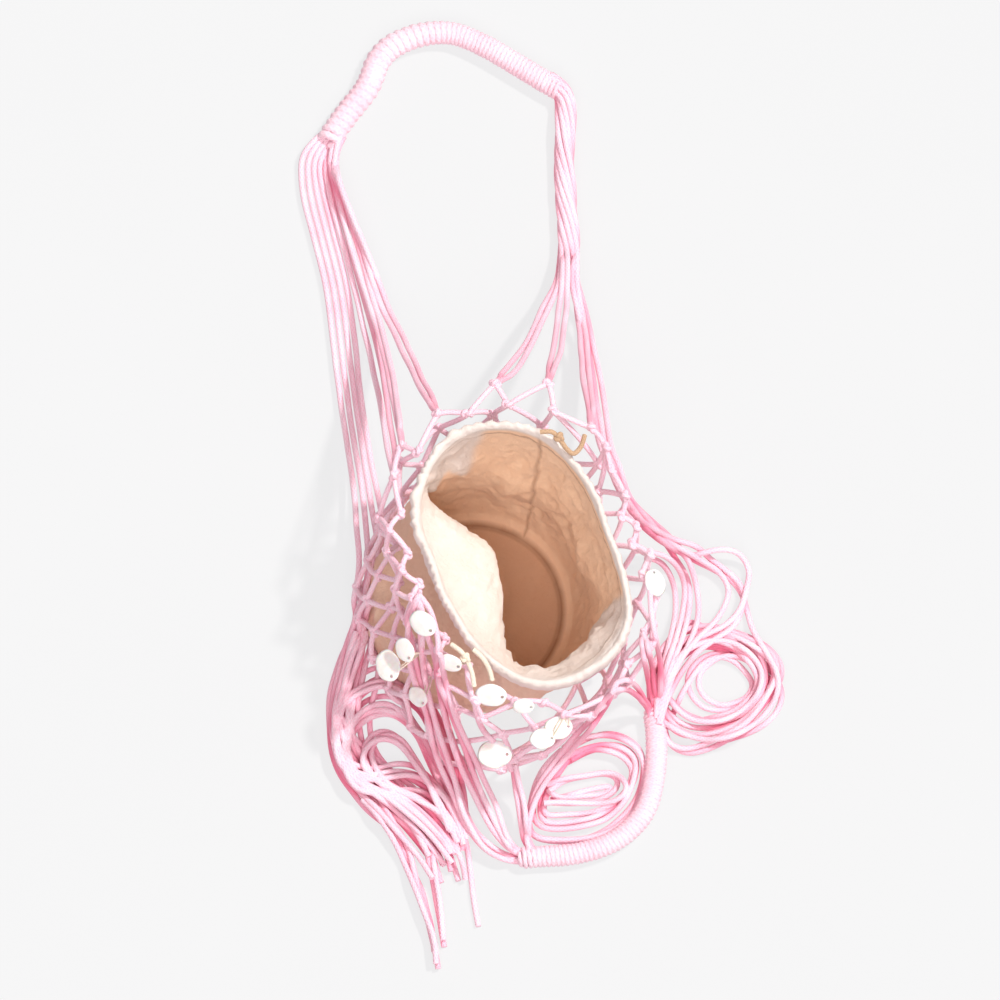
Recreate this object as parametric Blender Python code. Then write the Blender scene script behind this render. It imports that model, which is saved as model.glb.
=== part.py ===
"""Knotted net bucket bag, laid open on a floor: a hollow canvas bag stands inside a knotted cord
net, its two wound hand grips lie behind and in front of it, and its long fringe lies in loops.

Metres, +Z up. The origin is the middle of the canvas bag's flat base, on the floor.
Routes and outlines are written as seen by someone who looks down at the bag at LOOK_DOWN:
how far across, how far up the view, and how high above the floor, all in millimetres.
"""

import math

import bmesh
import bpy
from mathutils import Vector
from mathutils.bvhtree import BVHTree

for old in list(bpy.data.objects):
    bpy.data.objects.remove(old, do_unlink=True)

# Driving sizes, in metres
MM = 0.001
LOOK_DOWN = math.radians(75)
SEAM_GAP = 0.0004
CANVAS_WALL = 0.0022
BASE_RADIUS = 0.080
FOOT_ROUNDING = 0.006
MOUTH_RADIUS = 0.100
MOUTH_SHIFT_RIGHT = 0.043
MOUTH_HEIGHT = 0.165
MOUTH_TILT = 0.22
HEM_WIDTH = 0.0085
HEM_DROP = 0.010
HEM_RUCHE = 0.0012
HEM_RUCHES = 9
BELLY = 0.010
CORD = 0.0055
NET_CORD = 0.0050
NET_COLUMNS = 20
NET_ROWS = 8
NET_CLEARANCE = 0.0050
NET_COLLAR = 0.024
NET_COLLAR_DROP = 0.010
NET_SLACK = 0.040
NET_FOOT_HEIGHT = 0.0071
BACK_GRIP_THICKNESS = 0.0215
FRONT_GRIP_THICKNESS = 0.0185
BACK_GRIP_WRAP = 0.0062
FRONT_GRIP_WRAP = 0.0075
WRAP_GROOVE = 0.0011
GRIP_END = 0.8
LOCK_THICKNESS = 0.0150
DRAWSTRING = 0.0042
DRAWSTRING_KNOT_REACH = 0.0050
SHELL_LENGTH = 0.0240
SHELL_THICKNESS = 0.0016
SHELL_HOLE = 0.0030

# How finely the pieces are made, and how far a cord's points may stray from its smooth route
CANVAS_SEGMENTS = 36
NET_TURN = math.pi / NET_COLUMNS
SHELL_SIDES = 8
COIL_POINTS = 24
KNOT_POINTS = 10
STRAY = 0.0009
EASE_POINTS = 6

# The mouth's outline, a row for each direction, as shares of MOUTH_RADIUS
MOUTH = (
    # direction in degrees, reach
    (0, 0.80),
    (30, 0.77),
    (60, 0.91),
    (90, 1.12),
    (120, 1.20),
    (150, 1.05),
    (180, 0.80),
    (210, 0.75),
    (240, 0.83),
    (270, 1.01),
    (300, 1.08),
    (330, 1.01),
)

# The wall from foot to mouth: share of the mouth's height, share of the way from the base's
# outline to the mouth's, and outward push as a share of BELLY
WALL = (
    # level, lift, follow, push
    (0.00, 0.000, 0.00, 0.00),
    (0.05, 0.035, 0.00, 0.45),
    (0.15, 0.120, 0.06, 0.95),
    (0.28, 0.240, 0.18, 1.00),
    (0.40, 0.360, 0.32, 0.80),
    (0.52, 0.480, 0.46, 0.55),
    (0.64, 0.610, 0.61, 0.35),
    (0.76, 0.740, 0.76, 0.20),
    (0.88, 0.870, 0.89, 0.08),
    (1.00, 1.000, 1.00, 0.00),
)

# The hem, from the mouth's edge over and down: how far out as a share of HEM_WIDTH, and how far
# down as a share of HEM_DROP
HEM = (
    # out, drop
    (0.35, -0.26),
    (0.80, -0.15),
    (1.00, 0.35),
    (0.85, 1.00),
)

# The levels of the net's second row and of its foot
NET_LEVELS = (0.97, 0.045)

# Folds where the soft wall gives way: where each is centred and how far it spreads, and how far
# the wall moves there, as a share of MOUTH_RADIUS, towards a direction
FOLDS = (
    # direction, spread, level, band, move, towards
    (200, 84, 0.60, 0.32, 0.82, 42),
    (275, 40, 0.66, 0.26, 0.20, 80),
    (75, 34, 0.45, 0.22, 0.08, 255),
    (112, 22, 0.62, 0.20, 0.07, 285),
    (20, 30, 0.50, 0.25, 0.07, 190),
    (52, 16, 0.66, 0.22, 0.05, 230),
)

# How far the net stands off the canvas besides NET_CLEARANCE: share of NET_COLLAR in its top row,
# and share of NET_SLACK at its foot
NET_STANDOFF = (
    # direction, collar, slack
    (0, 0.45, 0.00),
    (45, 0.15, 0.00),
    (90, 1.05, 0.00),
    (135, 0.50, 0.00),
    (180, 0.05, 0.00),
    (225, 0.25, 0.10),
    (270, 0.15, 1.00),
    (315, 0.35, 0.55),
)


def seen(across, up, height):
    """The place in the model of a point seen across and up the view, at a height, in millimetres."""
    back = (up - height * math.cos(LOOK_DOWN)) / math.sin(LOOK_DOWN)
    return Vector((across * MM, back * MM, height * MM))


def ring_value(rows, degrees, column):
    """A smooth value round a ring of directions, from the rows of a table."""
    degrees %= 360
    count = len(rows)
    after = next((i for i, row in enumerate(rows) if row[0] > degrees), count)
    i0, i1, i2, i3 = ((after + k) % count for k in (-2, -1, 0, 1))
    start = rows[i1][0]
    span = (rows[i2][0] - start) % 360
    t = ((degrees - start) % 360) / span
    a, b, c, d = (rows[i][column] for i in (i0, i1, i2, i3))
    return b + 0.5 * t * (c - a + t * (2 * a - 5 * b + 4 * c - d + t * (3 * (b - c) + d - a)))


def level_value(rows, level, column):
    """A smooth value up the wall, from the rows of a table."""
    last = len(rows) - 1
    i = max(k for k in range(last) if rows[k][0] <= level or k == 0)
    t = (level - rows[i][0]) / (rows[i + 1][0] - rows[i][0])
    a, b, c, d = (rows[min(max(k, 0), last)][column] for k in (i - 1, i, i + 1, i + 2))
    return b + 0.5 * t * (c - a + t * (2 * a - 5 * b + 4 * c - d + t * (3 * (b - c) + d - a)))


def smooth_step(t):
    t = min(max(t, 0.0), 1.0)
    return t * t * (3 - 2 * t)


def mouth_point(degrees):
    """A point of the mouth's edge. The mouth leans: its back stands higher than its front."""
    angle = math.radians(degrees)
    reach = ring_value(MOUTH, degrees, 1) * MOUTH_RADIUS
    rise = reach * math.sin(angle)
    height = MOUTH_HEIGHT + MOUTH_TILT * rise
    lift_seen = MOUTH_HEIGHT * math.cos(LOOK_DOWN)
    back = (rise + lift_seen - height * math.cos(LOOK_DOWN)) / math.sin(LOOK_DOWN)
    return Vector((MOUTH_SHIFT_RIGHT + reach * math.cos(angle), back, height))


def wall_point(degrees, level, folded=True):
    """A point of the canvas wall's middle, at a direction and a level from foot to mouth."""
    out = Vector((math.cos(math.radians(degrees)), math.sin(math.radians(degrees)), 0))
    mouth = mouth_point(degrees)
    follow = level_value(WALL, level, 2)
    push = level_value(WALL, level, 3) * BELLY
    point = (out * BASE_RADIUS).lerp(Vector((mouth.x, mouth.y, 0)), follow) + out * push
    point.z = mouth.z * level_value(WALL, level, 1)
    if not folded:
        return point
    for direction, spread, at_level, band, move, towards in FOLDS:
        turn = abs((degrees - direction + 180) % 360 - 180) / spread
        rise = abs(level - at_level) / band
        if turn < 1 and rise < 1:
            share = smooth_step(1 - turn) * smooth_step(1 - rise)
            angle = math.radians(towards)
            point += Vector((math.cos(angle), math.sin(angle), 0)) * (move * MOUTH_RADIUS * share)
    return point


def outward(degrees):
    """The direction straight out from the mouth's edge, level with the floor."""
    ahead, behind = mouth_point(degrees + 4), mouth_point(degrees - 4)
    along = ahead - behind
    return Vector((along.y, -along.x, 0)).normalized()


def material(name, colour, roughness):
    made = bpy.data.materials.new(name)
    made.use_nodes = True
    shader = made.node_tree.nodes["Principled BSDF"]
    shader.inputs["Base Color"].default_value = (*colour, 1)
    shader.inputs["Roughness"].default_value = roughness
    shader.inputs["Metallic"].default_value = 0
    return made


PINK_CORD = material("pink_cotton_cord", (0.90, 0.62, 0.70), 0.85)
CANVAS = material("cream_canvas", (0.82, 0.72, 0.60), 0.90)
CREAM_CORD = material("cream_cord", (0.85, 0.74, 0.58), 0.85)
SHELL = material("shell_white", (0.93, 0.91, 0.87), 0.25)


def add_mesh(name, bm, finish):
    mesh = bpy.data.meshes.new(name)
    bm.to_mesh(mesh)
    bm.free()
    mesh.materials.append(finish)
    mesh.shade_smooth()
    made = bpy.data.objects.new(name, mesh)
    bpy.context.scene.collection.objects.link(made)
    return made


def helper(made):
    made.hide_render = True
    made.display_type = "WIRE"
    return made


def canvas_bag():
    """The canvas bag: a flat base, a wall lofted up to the mouth and a hem folded out and down."""
    bm = bmesh.new()
    made = bmesh.ops.create_circle(bm, segments=CANVAS_SEGMENTS, radius=1, cap_ends=True)
    ring = made["verts"]
    step = 360 / CANVAS_SEGMENTS
    inset_share = 1 - FOOT_ROUNDING / BASE_RADIUS
    directions = [i * step for i in range(CANVAS_SEGMENTS)]

    def place(verts, where):
        for vert, degrees in zip(verts, directions):
            vert.co = where(degrees)

    def next_ring(verts, where):
        edges = [bm.edges.get((verts[i - 1], verts[i])) for i in range(len(verts))]
        grown = bmesh.ops.extrude_edge_only(bm, edges=edges)["geom"]
        fresh = {vert for vert in grown if isinstance(vert, bmesh.types.BMVert)}
        order = [
            next(e.other_vert(v) for e in v.link_edges if e.other_vert(v) in fresh) for v in verts
        ]
        place(order, where)
        return order

    half = CANVAS_WALL / 2

    def foot(degrees):
        point = wall_point(degrees, 0) * inset_share
        point.z = half
        return point

    place(ring, foot)
    for level, *_ in WALL[1:]:
        ring = next_ring(ring, lambda degrees: wall_point(degrees, level))

    for out, drop in HEM:

        def hem(degrees):
            ruche = HEM_RUCHE * math.cos(math.radians(degrees) * HEM_RUCHES)
            over = outward(degrees) * (HEM_WIDTH * out + ruche)
            return mouth_point(degrees) + over - Vector((0, 0, HEM_DROP * drop))

        ring = next_ring(ring, hem)
    bmesh.ops.recalc_face_normals(bm, faces=bm.faces)
    bag = add_mesh("canvas_bag", bm, CANVAS)
    wall = bag.modifiers.new("wall", "SOLIDIFY")
    wall.thickness = CANVAS_WALL
    wall.offset = 0
    return bag


def net_point(column, row, ease):
    """A knot of the net. Odd rows sit half a column round. The top row leans out as a collar.

    ease is how much wider the net hangs than NET_CLEARANCE alone makes it."""
    degrees = math.degrees(NET_TURN) * (2 * column + 1 + row % 2)
    rows_down = NET_ROWS - 1
    high, low = NET_LEVELS
    level = 1.0 if row == 0 else high - (row - 1) * (high - low) / (rows_down - 1)
    point = wall_point(degrees, level, folded=False)
    out = outward(degrees).lerp(
        Vector((math.cos(math.radians(degrees)), math.sin(math.radians(degrees)), 0)), 1 - level
    )
    out.normalize()
    down = row / rows_down
    clear = CANVAS_WALL / 2 + NET_CORD / 2
    if row == rows_down:
        off = clear + SEAM_GAP + ease
    elif row == 0:
        off = clear + HEM_WIDTH + NET_COLLAR * ring_value(NET_STANDOFF, degrees, 1)
    else:
        hem_room = (HEM_WIDTH + HEM_RUCHE) * smooth_step(5 * level - 3.3)
        off = clear + NET_CLEARANCE + ease + hem_room
    slack = max(0.0, ring_value(NET_STANDOFF, degrees, 2)) * NET_SLACK
    off += slack * smooth_step(down * 1.35)
    point += out * off
    if row == 0:
        point.z -= NET_COLLAR_DROP
    if row == rows_down:
        point.z = NET_FOOT_HEIGHT
    return point


def net(ease):
    """The knotted net: a sheet of diamonds round the canvas, opened into bars of cord."""
    bm = bmesh.new()
    knots = [
        [bm.verts.new(net_point(column, row, ease)) for column in range(NET_COLUMNS)]
        for row in range(NET_ROWS)
    ]
    for row in range(1, NET_ROWS - 1):
        for column in range(NET_COLUMNS):
            side = column if row % 2 else column + 1
            left = knots[row][(side - 1) % NET_COLUMNS]
            right = knots[row][side % NET_COLUMNS]
            bm.faces.new((knots[row - 1][column], left, knots[row + 1][column], right))
    bmesh.ops.recalc_face_normals(bm, faces=bm.faces)
    made = add_mesh("net", bm, PINK_CORD)
    bars = made.modifiers.new("bars", "WIREFRAME")
    bars.thickness = NET_CORD
    bars.offset = 0
    bars.use_boundary = True
    bars.use_even_offset = True
    return made


def surface_of(made):
    """The evaluated points and faces of an object, in the model's frame."""
    bpy.context.view_layer.update()
    graph = bpy.context.evaluated_depsgraph_get()
    shown = made.evaluated_get(graph)
    mesh = shown.to_mesh()
    points = [shown.matrix_world @ vert.co for vert in mesh.vertices]
    faces = [tuple(face.vertices) for face in mesh.polygons]
    shown.to_mesh_clear()
    return points, faces


def room_between(points, faces, trees):
    """The least gap from a mesh's corners, edges and faces to others, less than 0 if they meet."""
    own = BVHTree.FromPolygons(points, faces)
    if any(own.overlap(tree) for tree in trees):
        return -SEAM_GAP
    spots = list(points)
    for face in faces:
        corners = [points[k] for k in face]
        spots.append(sum(corners, Vector()) / len(corners))
        for a, b in zip(corners, corners[1:] + corners[:1]):
            spots += [a.lerp(b, share) for share in (0.25, 0.5, 0.75)]
    return min(tree.find_nearest(spot)[3] for tree in trees for spot in spots)


def drawn_in_net(canvas):
    """The net, eased out until it nearly touches the canvas, and how far that was."""
    tree = BVHTree.FromPolygons(*surface_of(canvas))
    ease = 0.0
    while True:
        made = net(ease)
        room = room_between(*surface_of(made), [tree])
        if room >= 0.8 * SEAM_GAP:
            return made, ease
        bpy.data.objects.remove(made, do_unlink=True)
        ease += SEAM_GAP


def smooth_route(route, spacing):
    """Points about spacing apart along a smooth curve through a route's points."""
    points = [Vector(point) for point in route]
    dense = []
    last = len(points) - 1
    for i in range(last):
        a, b, c, d = (points[min(max(k, 0), last)] for k in (i - 1, i, i + 1, i + 2))
        for k in range(24):
            t = k / 24
            dense.append(
                b + 0.5 * t * ((c - a) + t * ((2 * a - 5 * b + 4 * c - d) + t * (3 * (b - c) + d - a)))
            )
    dense.append(points[-1])
    lengths = [0.0]
    for before, after in zip(dense, dense[1:]):
        lengths.append(lengths[-1] + (after - before).length)
    count = max(2, round(lengths[-1] / spacing))
    found = []
    k = 0
    for i in range(count + 1):
        at = lengths[-1] * i / count
        while k < len(lengths) - 2 and lengths[k + 1] < at:
            k += 1
        span = max(lengths[k + 1] - lengths[k], 1e-9)
        found.append(dense[k].lerp(dense[k + 1], min(max((at - lengths[k]) / span, 0), 1)))
    return found


def curve_object(name, points, finish, radii=None, closed=False):
    """A curve object that passes through the points, one poly spline."""
    curve = bpy.data.curves.new(name, "CURVE")
    curve.dimensions = "3D"
    curve.use_fill_caps = not closed
    curve.twist_mode = "Z_UP"
    spline = curve.splines.new("POLY")
    spline.points.add(len(points) - 1)
    spline.use_cyclic_u = closed
    for i, (target, point) in enumerate(zip(spline.points, points)):
        target.co = (*point, 1)
        target.radius = radii[i] if radii else 1.0
    spline.use_smooth = True
    curve.materials.append(finish)
    made = bpy.data.objects.new(name, curve)
    bpy.context.scene.collection.objects.link(made)
    return made


def round_cord(name, points, diameter, finish, sides=2, radii=None, closed=False):
    made = curve_object(name, points, finish, radii, closed)
    made.data.bevel_mode = "ROUND"
    made.data.bevel_depth = diameter / 2
    made.data.bevel_resolution = sides
    return made


def bundle_outline(name, cords):
    """The outline of cords that lie side by side, a bump above and below for each of them."""
    radius = CORD / 2
    upper = []
    for i in range(cords):
        middle = (2 * i + 1 - cords) * radius
        if cords == 1:
            upper += [(-0.5 * radius, 0.87 * radius), (0.5 * radius, 0.87 * radius)]
        else:
            upper.append((middle, radius))
        if i < cords - 1:
            upper.append((middle + radius, 0.60 * radius))
    ends = cords * radius
    loop = [(-ends, 0.0), *upper, (ends, 0.0), *[(x, -y) for x, y in reversed(upper)]]
    curve = bpy.data.curves.new(name, "CURVE")
    curve.dimensions = "2D"
    curve.fill_mode = "NONE"
    spline = curve.splines.new("POLY")
    spline.points.add(len(loop) - 1)
    spline.use_cyclic_u = True
    for target, (x, y) in zip(spline.points, loop):
        target.co = (x, y, 0, 1)
    made = bpy.data.objects.new(name, curve)
    bpy.context.scene.collection.objects.link(made)
    return helper(made)


OUTLINES = {}


def bundle(name, points, cords):
    """Cords that run side by side as one flat bundle."""
    if cords not in OUTLINES:
        OUTLINES[cords] = bundle_outline(f"outline_{cords}", cords)
    made = curve_object(name, points, PINK_CORD)
    made.data.bevel_mode = "OBJECT"
    made.data.bevel_object = OUTLINES[cords]
    return made


def route_of(rows):
    return [seen(*row) for row in rows]


BACK_GRIP_ROUTE = (
    # across, up, height
    (-122, 391, 11),
    (-105, 415, 11),
    (-88, 437, 11),
    (-79, 459, 11),
    (-66, 472, 11),
    (-43, 481, 11),
    (-17, 482, 11),
    (9, 472, 11),
    (35, 457, 11),
    (60, 442, 11),
    (74, 434, 11),
)
FRONT_GRIP_ROUTE = (
    (39, -205, 10),
    (54, -204, 10),
    (88, -201, 10),
    (119, -190, 10),
    (142, -168, 10),
    (151, -138, 10),
    (153, -106, 10),
    (150, -81, 10),
)


def grip(name, rows, thickness, wrap):
    """A hand grip: a round core that shows a ridge for each turn of the cord wound on it."""
    points = smooth_route(route_of(rows), wrap / 2)
    ridge, groove = thickness / 2, thickness / 2 - WRAP_GROOVE
    radii = [ridge if i % 2 else groove for i in range(len(points))]
    radii[0] = radii[-1] = groove * GRIP_END
    return round_cord(name, points, 2.0, PINK_CORD, 2, radii)


def grip_end(rows, end):
    """A grip's end point and the direction out of it."""
    points = smooth_route(route_of(rows), BACK_GRIP_WRAP / 2)
    if end == "start":
        points.reverse()
    return points[-1], (points[-1] - points[-2]).normalized()


def leave_grip(rows, end, side, lift, lead):
    """Where cords start at a grip's end face, side, lift and lead in cord widths."""
    at, along = grip_end(rows, end)
    across = Vector((-along.y, along.x, 0))
    start = at + across * (side * CORD) + Vector((0, 0, lift * CORD)) + along * 2 * SEAM_GAP
    return start, start + along * lead * CORD


def reach_knot(column, towards):
    """Where a cord stops short of a knot of the net's top row, coming from towards."""
    knot = net_point(column, 0, NET_EASE)
    pull = (towards - knot).normalized()
    pull = (pull + outward(math.degrees(NET_TURN) * (2 * column + 1))).normalized()
    return knot + pull * (NET_CORD / 2 + CORD / 2 + 2 * SEAM_GAP)


def thinned(points, stray):
    """The points without those that lie within stray of the straight line past them."""
    start, end = points[0], points[-1]
    along = end - start
    worst, far = 0.0, None
    for i in range(1, len(points) - 1):
        share = min(max((points[i] - start).dot(along) / max(along.length_squared, 1e-12), 0), 1)
        away = (points[i] - start - along * share).length
        if away > worst:
            worst, far = away, i
    if worst <= stray:
        return [start, end]
    return thinned(points[: far + 1], stray)[:-1] + thinned(points[far:], stray)


LAID = {}
BAG = ("canvas_bag", "net")


def lay_down(made):
    """Keeps a finished piece as something that later pieces lie on and pass round."""
    LAID[made.name] = BVHTree.FromPolygons(*surface_of(made))
    return made


def drawn_up(points, end, seat, skin_of):
    """The points, with one end drawn up until the piece's end nearly touches its seat.

    skin_of gives the surface of the piece that follows the points."""
    points = [point.copy() for point in points]
    for _ in range(8):
        spots = [spot for spot in skin_of(points) if (spot - points[end]).length < 3 * CORD]
        spot = min(spots, key=lambda at: LAID[seat].find_nearest(at)[3])
        near, _, _, gap = LAID[seat].find_nearest(spot)
        if abs(gap - SEAM_GAP) < SEAM_GAP / 8:
            break
        points[end] += (near - spot) * (1 - SEAM_GAP / gap)
    return points


def laid_clear(points, reaches, radius, held=(0, 0)):
    """A route moved just clear of the floor and of every piece laid before it.

    reaches are the sideways places of its cords, and held how many points stay at each end."""
    points = [point.copy() for point in points]
    need = radius + 2 * SEAM_GAP + STRAY
    count = len(points)
    free = range(held[0], count - held[1])
    middle = Vector((MOUTH_SHIFT_RIGHT / 2, 0, 0))
    for _ in range(80):
        moves = [Vector() for _ in points]
        for i in free:
            along = (points[min(i + 1, count - 1)] - points[max(i - 1, 0)]).normalized()
            side = Vector((0, 0, 1)).cross(along).normalized()
            away_from_bag = points[i] - middle
            away_from_bag.z = 0
            away_from_bag = (away_from_bag.normalized() + Vector((0, 0, 0.6))).normalized()
            for reach in reaches:
                at = points[i] + side * reach
                if at.z < radius + SEAM_GAP:
                    moves[i].z = max(moves[i].z, radius + SEAM_GAP - at.z)
                for name, tree in LAID.items():
                    near, _, _, gap = tree.find_nearest(at, need)
                    if near is None or need - gap <= moves[i].length:
                        continue
                    push = away_from_bag
                    if name not in BAG:
                        push = ((at - near).normalized() + Vector((0, 0, 0.6))).normalized()
                    moves[i] = push * (need - gap)
        if max(move.length for move in moves) < 0.00002:
            break
        for i in free:
            shares = [
                moves[k] * smooth_step(1 - abs(k - i) / EASE_POINTS)
                for k in range(max(i - EASE_POINTS, 0), min(i + EASE_POINTS, count))
            ]
            points[i] += max(shares, key=lambda share: share.length)
    return points


def handle_cords(name, grip_rows, end, side, lift, lead, cords, reach, via):
    """Cords from a grip's end, through points on the way, to a knot of the net or to a fringe."""
    start, onward = leave_grip(grip_rows, end, side, lift, lead)
    route = [onward, *route_of(via)]
    seat = reach
    if reach not in FRINGE:
        route.append(reach_knot(reach, route[-1]))
        seat = "net"
    reaches = [(2 * i + 1 - cords) * CORD / 2 for i in range(cords)]
    points = laid_clear(smooth_route(route, CORD), reaches, CORD / 2, held=(1, 0))

    def skin_of(points):
        trial = bundle("trial", points, cords)
        spots = surface_of(trial)[0]
        bpy.data.objects.remove(trial, do_unlink=True)
        return spots

    points = drawn_up([start, *thinned(points, STRAY)], -1, seat, skin_of)
    return lay_down(bundle(name, points, cords))


# Cords between the grips and the net: side, lift and straight lead at the grip in cord widths,
# how many cords, the net's knot column or the fringe that they reach, and the points on the way
BACK_CORDS = {
    "back_left_bundle": (
        "start", -1.15, -0.75, 2.0, 3, "fringe_left",
        (
            (-142, 345, 7), (-138, 300, 5), (-127, 240, 5), (-116, 180, 6), (-104, 120, 12),
            (-96, 76, 26), (-96, 38, 34), (-103, 8, 24), (-110, -9, 12),
        ),
    ),
    "back_left_pair_1": (
        "start", 1.65, -0.75, 2.0, 2, 8,
        ((-117, 340, 6), (-99, 260, 12), (-84, 190, 62), (-72, 128, 118)),
    ),
    "back_left_pair_2": (
        "start", 0.0, 0.40, 2.5, 2, 7,
        ((-115, 341, 13), (-91, 265, 26), (-76, 200, 74), (-64, 160, 112)),
    ),
    "back_left_pair_3": (
        "start", 1.85, 0.40, 2.0, 1, 6,
        ((-99, 345, 12), (-76, 262, 24), (-55, 200, 80), (-40, 174, 120)),
    ),
    "back_right_bundle": (
        "end", 1.2, -0.75, 1.4, 2, "fringe_right_loops",
        (
            (85, 385, 5), (86, 330, 4), (90, 260, 9), (99, 205, 30), (108, 165, 60),
            (118, 128, 82), (128, 98, 90), (145, 76, 62), (164, 59, 30), (178, 52, 10),
        ),
    ),
    "back_right_pair_1": (
        "end", -0.9, -0.75, 0.5, 2, 5,
        ((73, 385, 5), (74, 320, 5), (66, 262, 34), (38, 215, 96)),
    ),
    "back_right_pair_2": (
        "end", -0.6, 0.40, 0.7, 2, 4,
        ((76, 385, 12), (78, 320, 12), (76, 262, 44), (68, 214, 96)),
    ),
    "back_right_pair_3": (
        "end", 1.0, 0.40, 1.0, 1, 3,
        ((85, 385, 12), (86, 320, 14), (90, 250, 46), (96, 190, 104)),
    ),
}
FRONT_CORDS = {
    "front_left_cords": (
        "start", 0.4, -0.3, 1.6, 4, 11,
        ((16, -190, 12), (-5, -160, 24), (-22, -122, 36), (-38, -78, 66), (-47, -34, 112)),
    ),
    "front_middle_cords": (
        "start", -1.4, 0.75, 0.4, 2, 16,
        ((38, -186, 14), (50, -152, 20), (72, -118, 40), (100, -92, 84)),
    ),
    "front_right_cords": (
        "end", 0.0, 0.0, 1.0, 3, 18,
        ((148, -62, 24), (146, -40, 60), (143, -26, 100)),
    ),
}

# The fringe: each lock's thickness as a share of LOCK_THICKNESS, what its first end is drawn up
# to, and its route across and up the view, on the floor unless a height follows
FRINGE = {
    "fringe_left": (
        (1.10, None, ((-112, -22), (-113, -42), (-117, -76), (-117, -118), (-104, -148), (-78, -164),
                (-48, -176), (-30, -196), (-27, -222), (-26, -262), (-27, -302))),
        (1.00, None, ((-112, -22), (-102, -44), (-92, -68), (-70, -92), (-42, -108), (-30, -136),
                (-30, -164), (-30, -196))),
        (0.80, None, ((-117, -76), (-96, -104), (-74, -126), (-54, -150), (-30, -196))),
        (0.80, None, ((-102, -44), (-107, -90), (-92, -130), (-62, -158), (-30, -186))),
        (0.75, None, ((-42, -108), (-20, -130), (-7, -162), (-6, -194), (-4, -232), (2, -262))),
        (0.60, None, ((-70, -166), (-52, -190), (-45, -220), (-33, -262))),
    ),
    "fringe_front_loops": (
        (0.75, "front_grip", ((50, -187), (68, -180), (100, -172), (122, -156), (132, -136), (124, -116),
                (98, -112), (78, -122))),
        (0.55, None, ((54, -184), (60, -156), (92, -154), (114, -140), (106, -132), (76, -138))),
    ),
    "fringe_right_loops": (
        (0.60, None, ((186, 47), (204, 50), (222, 44), (231, 28), (228, 6))),
        (0.45, None, ((186, 47), (190, 34), (204, 24), (220, 8), (228, 6))),
        (0.45, None, ((186, 47), (178, 30), (184, 10), (190, -8))),
    ),
    "fringe_right_coil": (
        (0.80, None, ((162, -98), (164, -80), (169, -62), (176, -48), (190, -40))),
        (0.60, "net", ((153, -6, 104), (165, -10, 76), (178, -16, 42), (189, -22, 20),
                       (199, -28, 12))),
    ),
}
COIL_MIDDLE = (208, -62)
COIL_REACH = 40
COIL_THICKNESS = 0.0195


def on_floor(rows, thickness):
    """The points of a route whose piece, of a given thickness, lies on the floor where no height
    is given."""
    rest = (thickness / 2 + SEAM_GAP) / MM
    return [seen(*row, rest) if len(row) == 2 else seen(*row) for row in rows]


def lock(points, thickness, closed=False):
    """One lock of fringe as a mesh: a round tube that narrows a little to its ends."""
    count = len(points)
    radii = [0.9 + 0.1 * math.sin(math.pi * i / (count - 1)) for i in range(count)]
    radii = None if closed else radii
    tube = round_cord("lock", points, thickness, PINK_CORD, 1, radii, closed)
    mesh = bpy.data.meshes.new_from_object(tube)
    bpy.data.objects.remove(tube, do_unlink=True)
    bm = bmesh.new()
    bm.from_mesh(mesh)
    bmesh.ops.remove_doubles(bm, verts=bm.verts, dist=0.00002)
    bmesh.ops.recalc_face_normals(bm, faces=bm.faces)
    return bm


def coil_ring():
    """The fringe cords that lie in a coil: one flat round turn as thick as all of them."""
    across, up = COIL_MIDDLE
    rows = []
    for i in range(COIL_POINTS):
        turn = 2 * math.pi * i / COIL_POINTS
        rows.append((across + COIL_REACH * math.cos(turn), up + COIL_REACH * math.sin(turn)))
    return lock(on_floor(rows, COIL_THICKNESS), COIL_THICKNESS, closed=True)


def fringe(name, locks):
    """A piece of fringe: its locks fused into the first of them."""
    shapes = []
    for share, seat, rows in locks:
        thickness = share * LOCK_THICKNESS
        points = smooth_route(on_floor(rows, thickness), CORD)
        points = thinned(laid_clear(points, (0.0,), thickness / 2), 1.5 * STRAY)

        def skin_of(points):
            trial = lock(points, thickness)
            spots = [vert.co.copy() for vert in trial.verts]
            trial.free()
            return spots

        if seat:
            points = drawn_up(points, 0, seat, skin_of)
        shapes.append(lock(points, thickness))
    if name == "fringe_right_coil":
        shapes.append(coil_ring())
    made = None
    for i, shape in enumerate(shapes):
        piece = add_mesh(name if i == 0 else f"{name}_lock_{i}", shape, PINK_CORD)
        if i == 0:
            made = piece
            continue
        joined = made.modifiers.new(f"lock_{i}", "BOOLEAN")
        joined.operation = "UNION"
        joined.object = helper(piece)
    return lay_down(made)


# Shell discs: where each is seen, the way it leans, and its size as a share of SHELL_LENGTH
SHELLS = (
    # across, up, lean in degrees, towards, size
    (-71, -45, 30, 200, 1.15),
    (-42, -10, 35, 230, 1.05),
    (-57, -32, 40, 210, 0.90),
    (-19, -43, 50, 250, 0.85),
    (-46, -71, 35, 220, 0.80),
    (15, -70, 45, 265, 1.10),
    (42, -79, 45, 270, 0.75),
    (71, -97, 25, 280, 1.00),
    (18, -119, 12, 270, 1.20),
    (152, 24, 30, 10, 1.00),
    (58, -106, 20, 275, 0.90),
)
SHELL_DROP = 220


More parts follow.
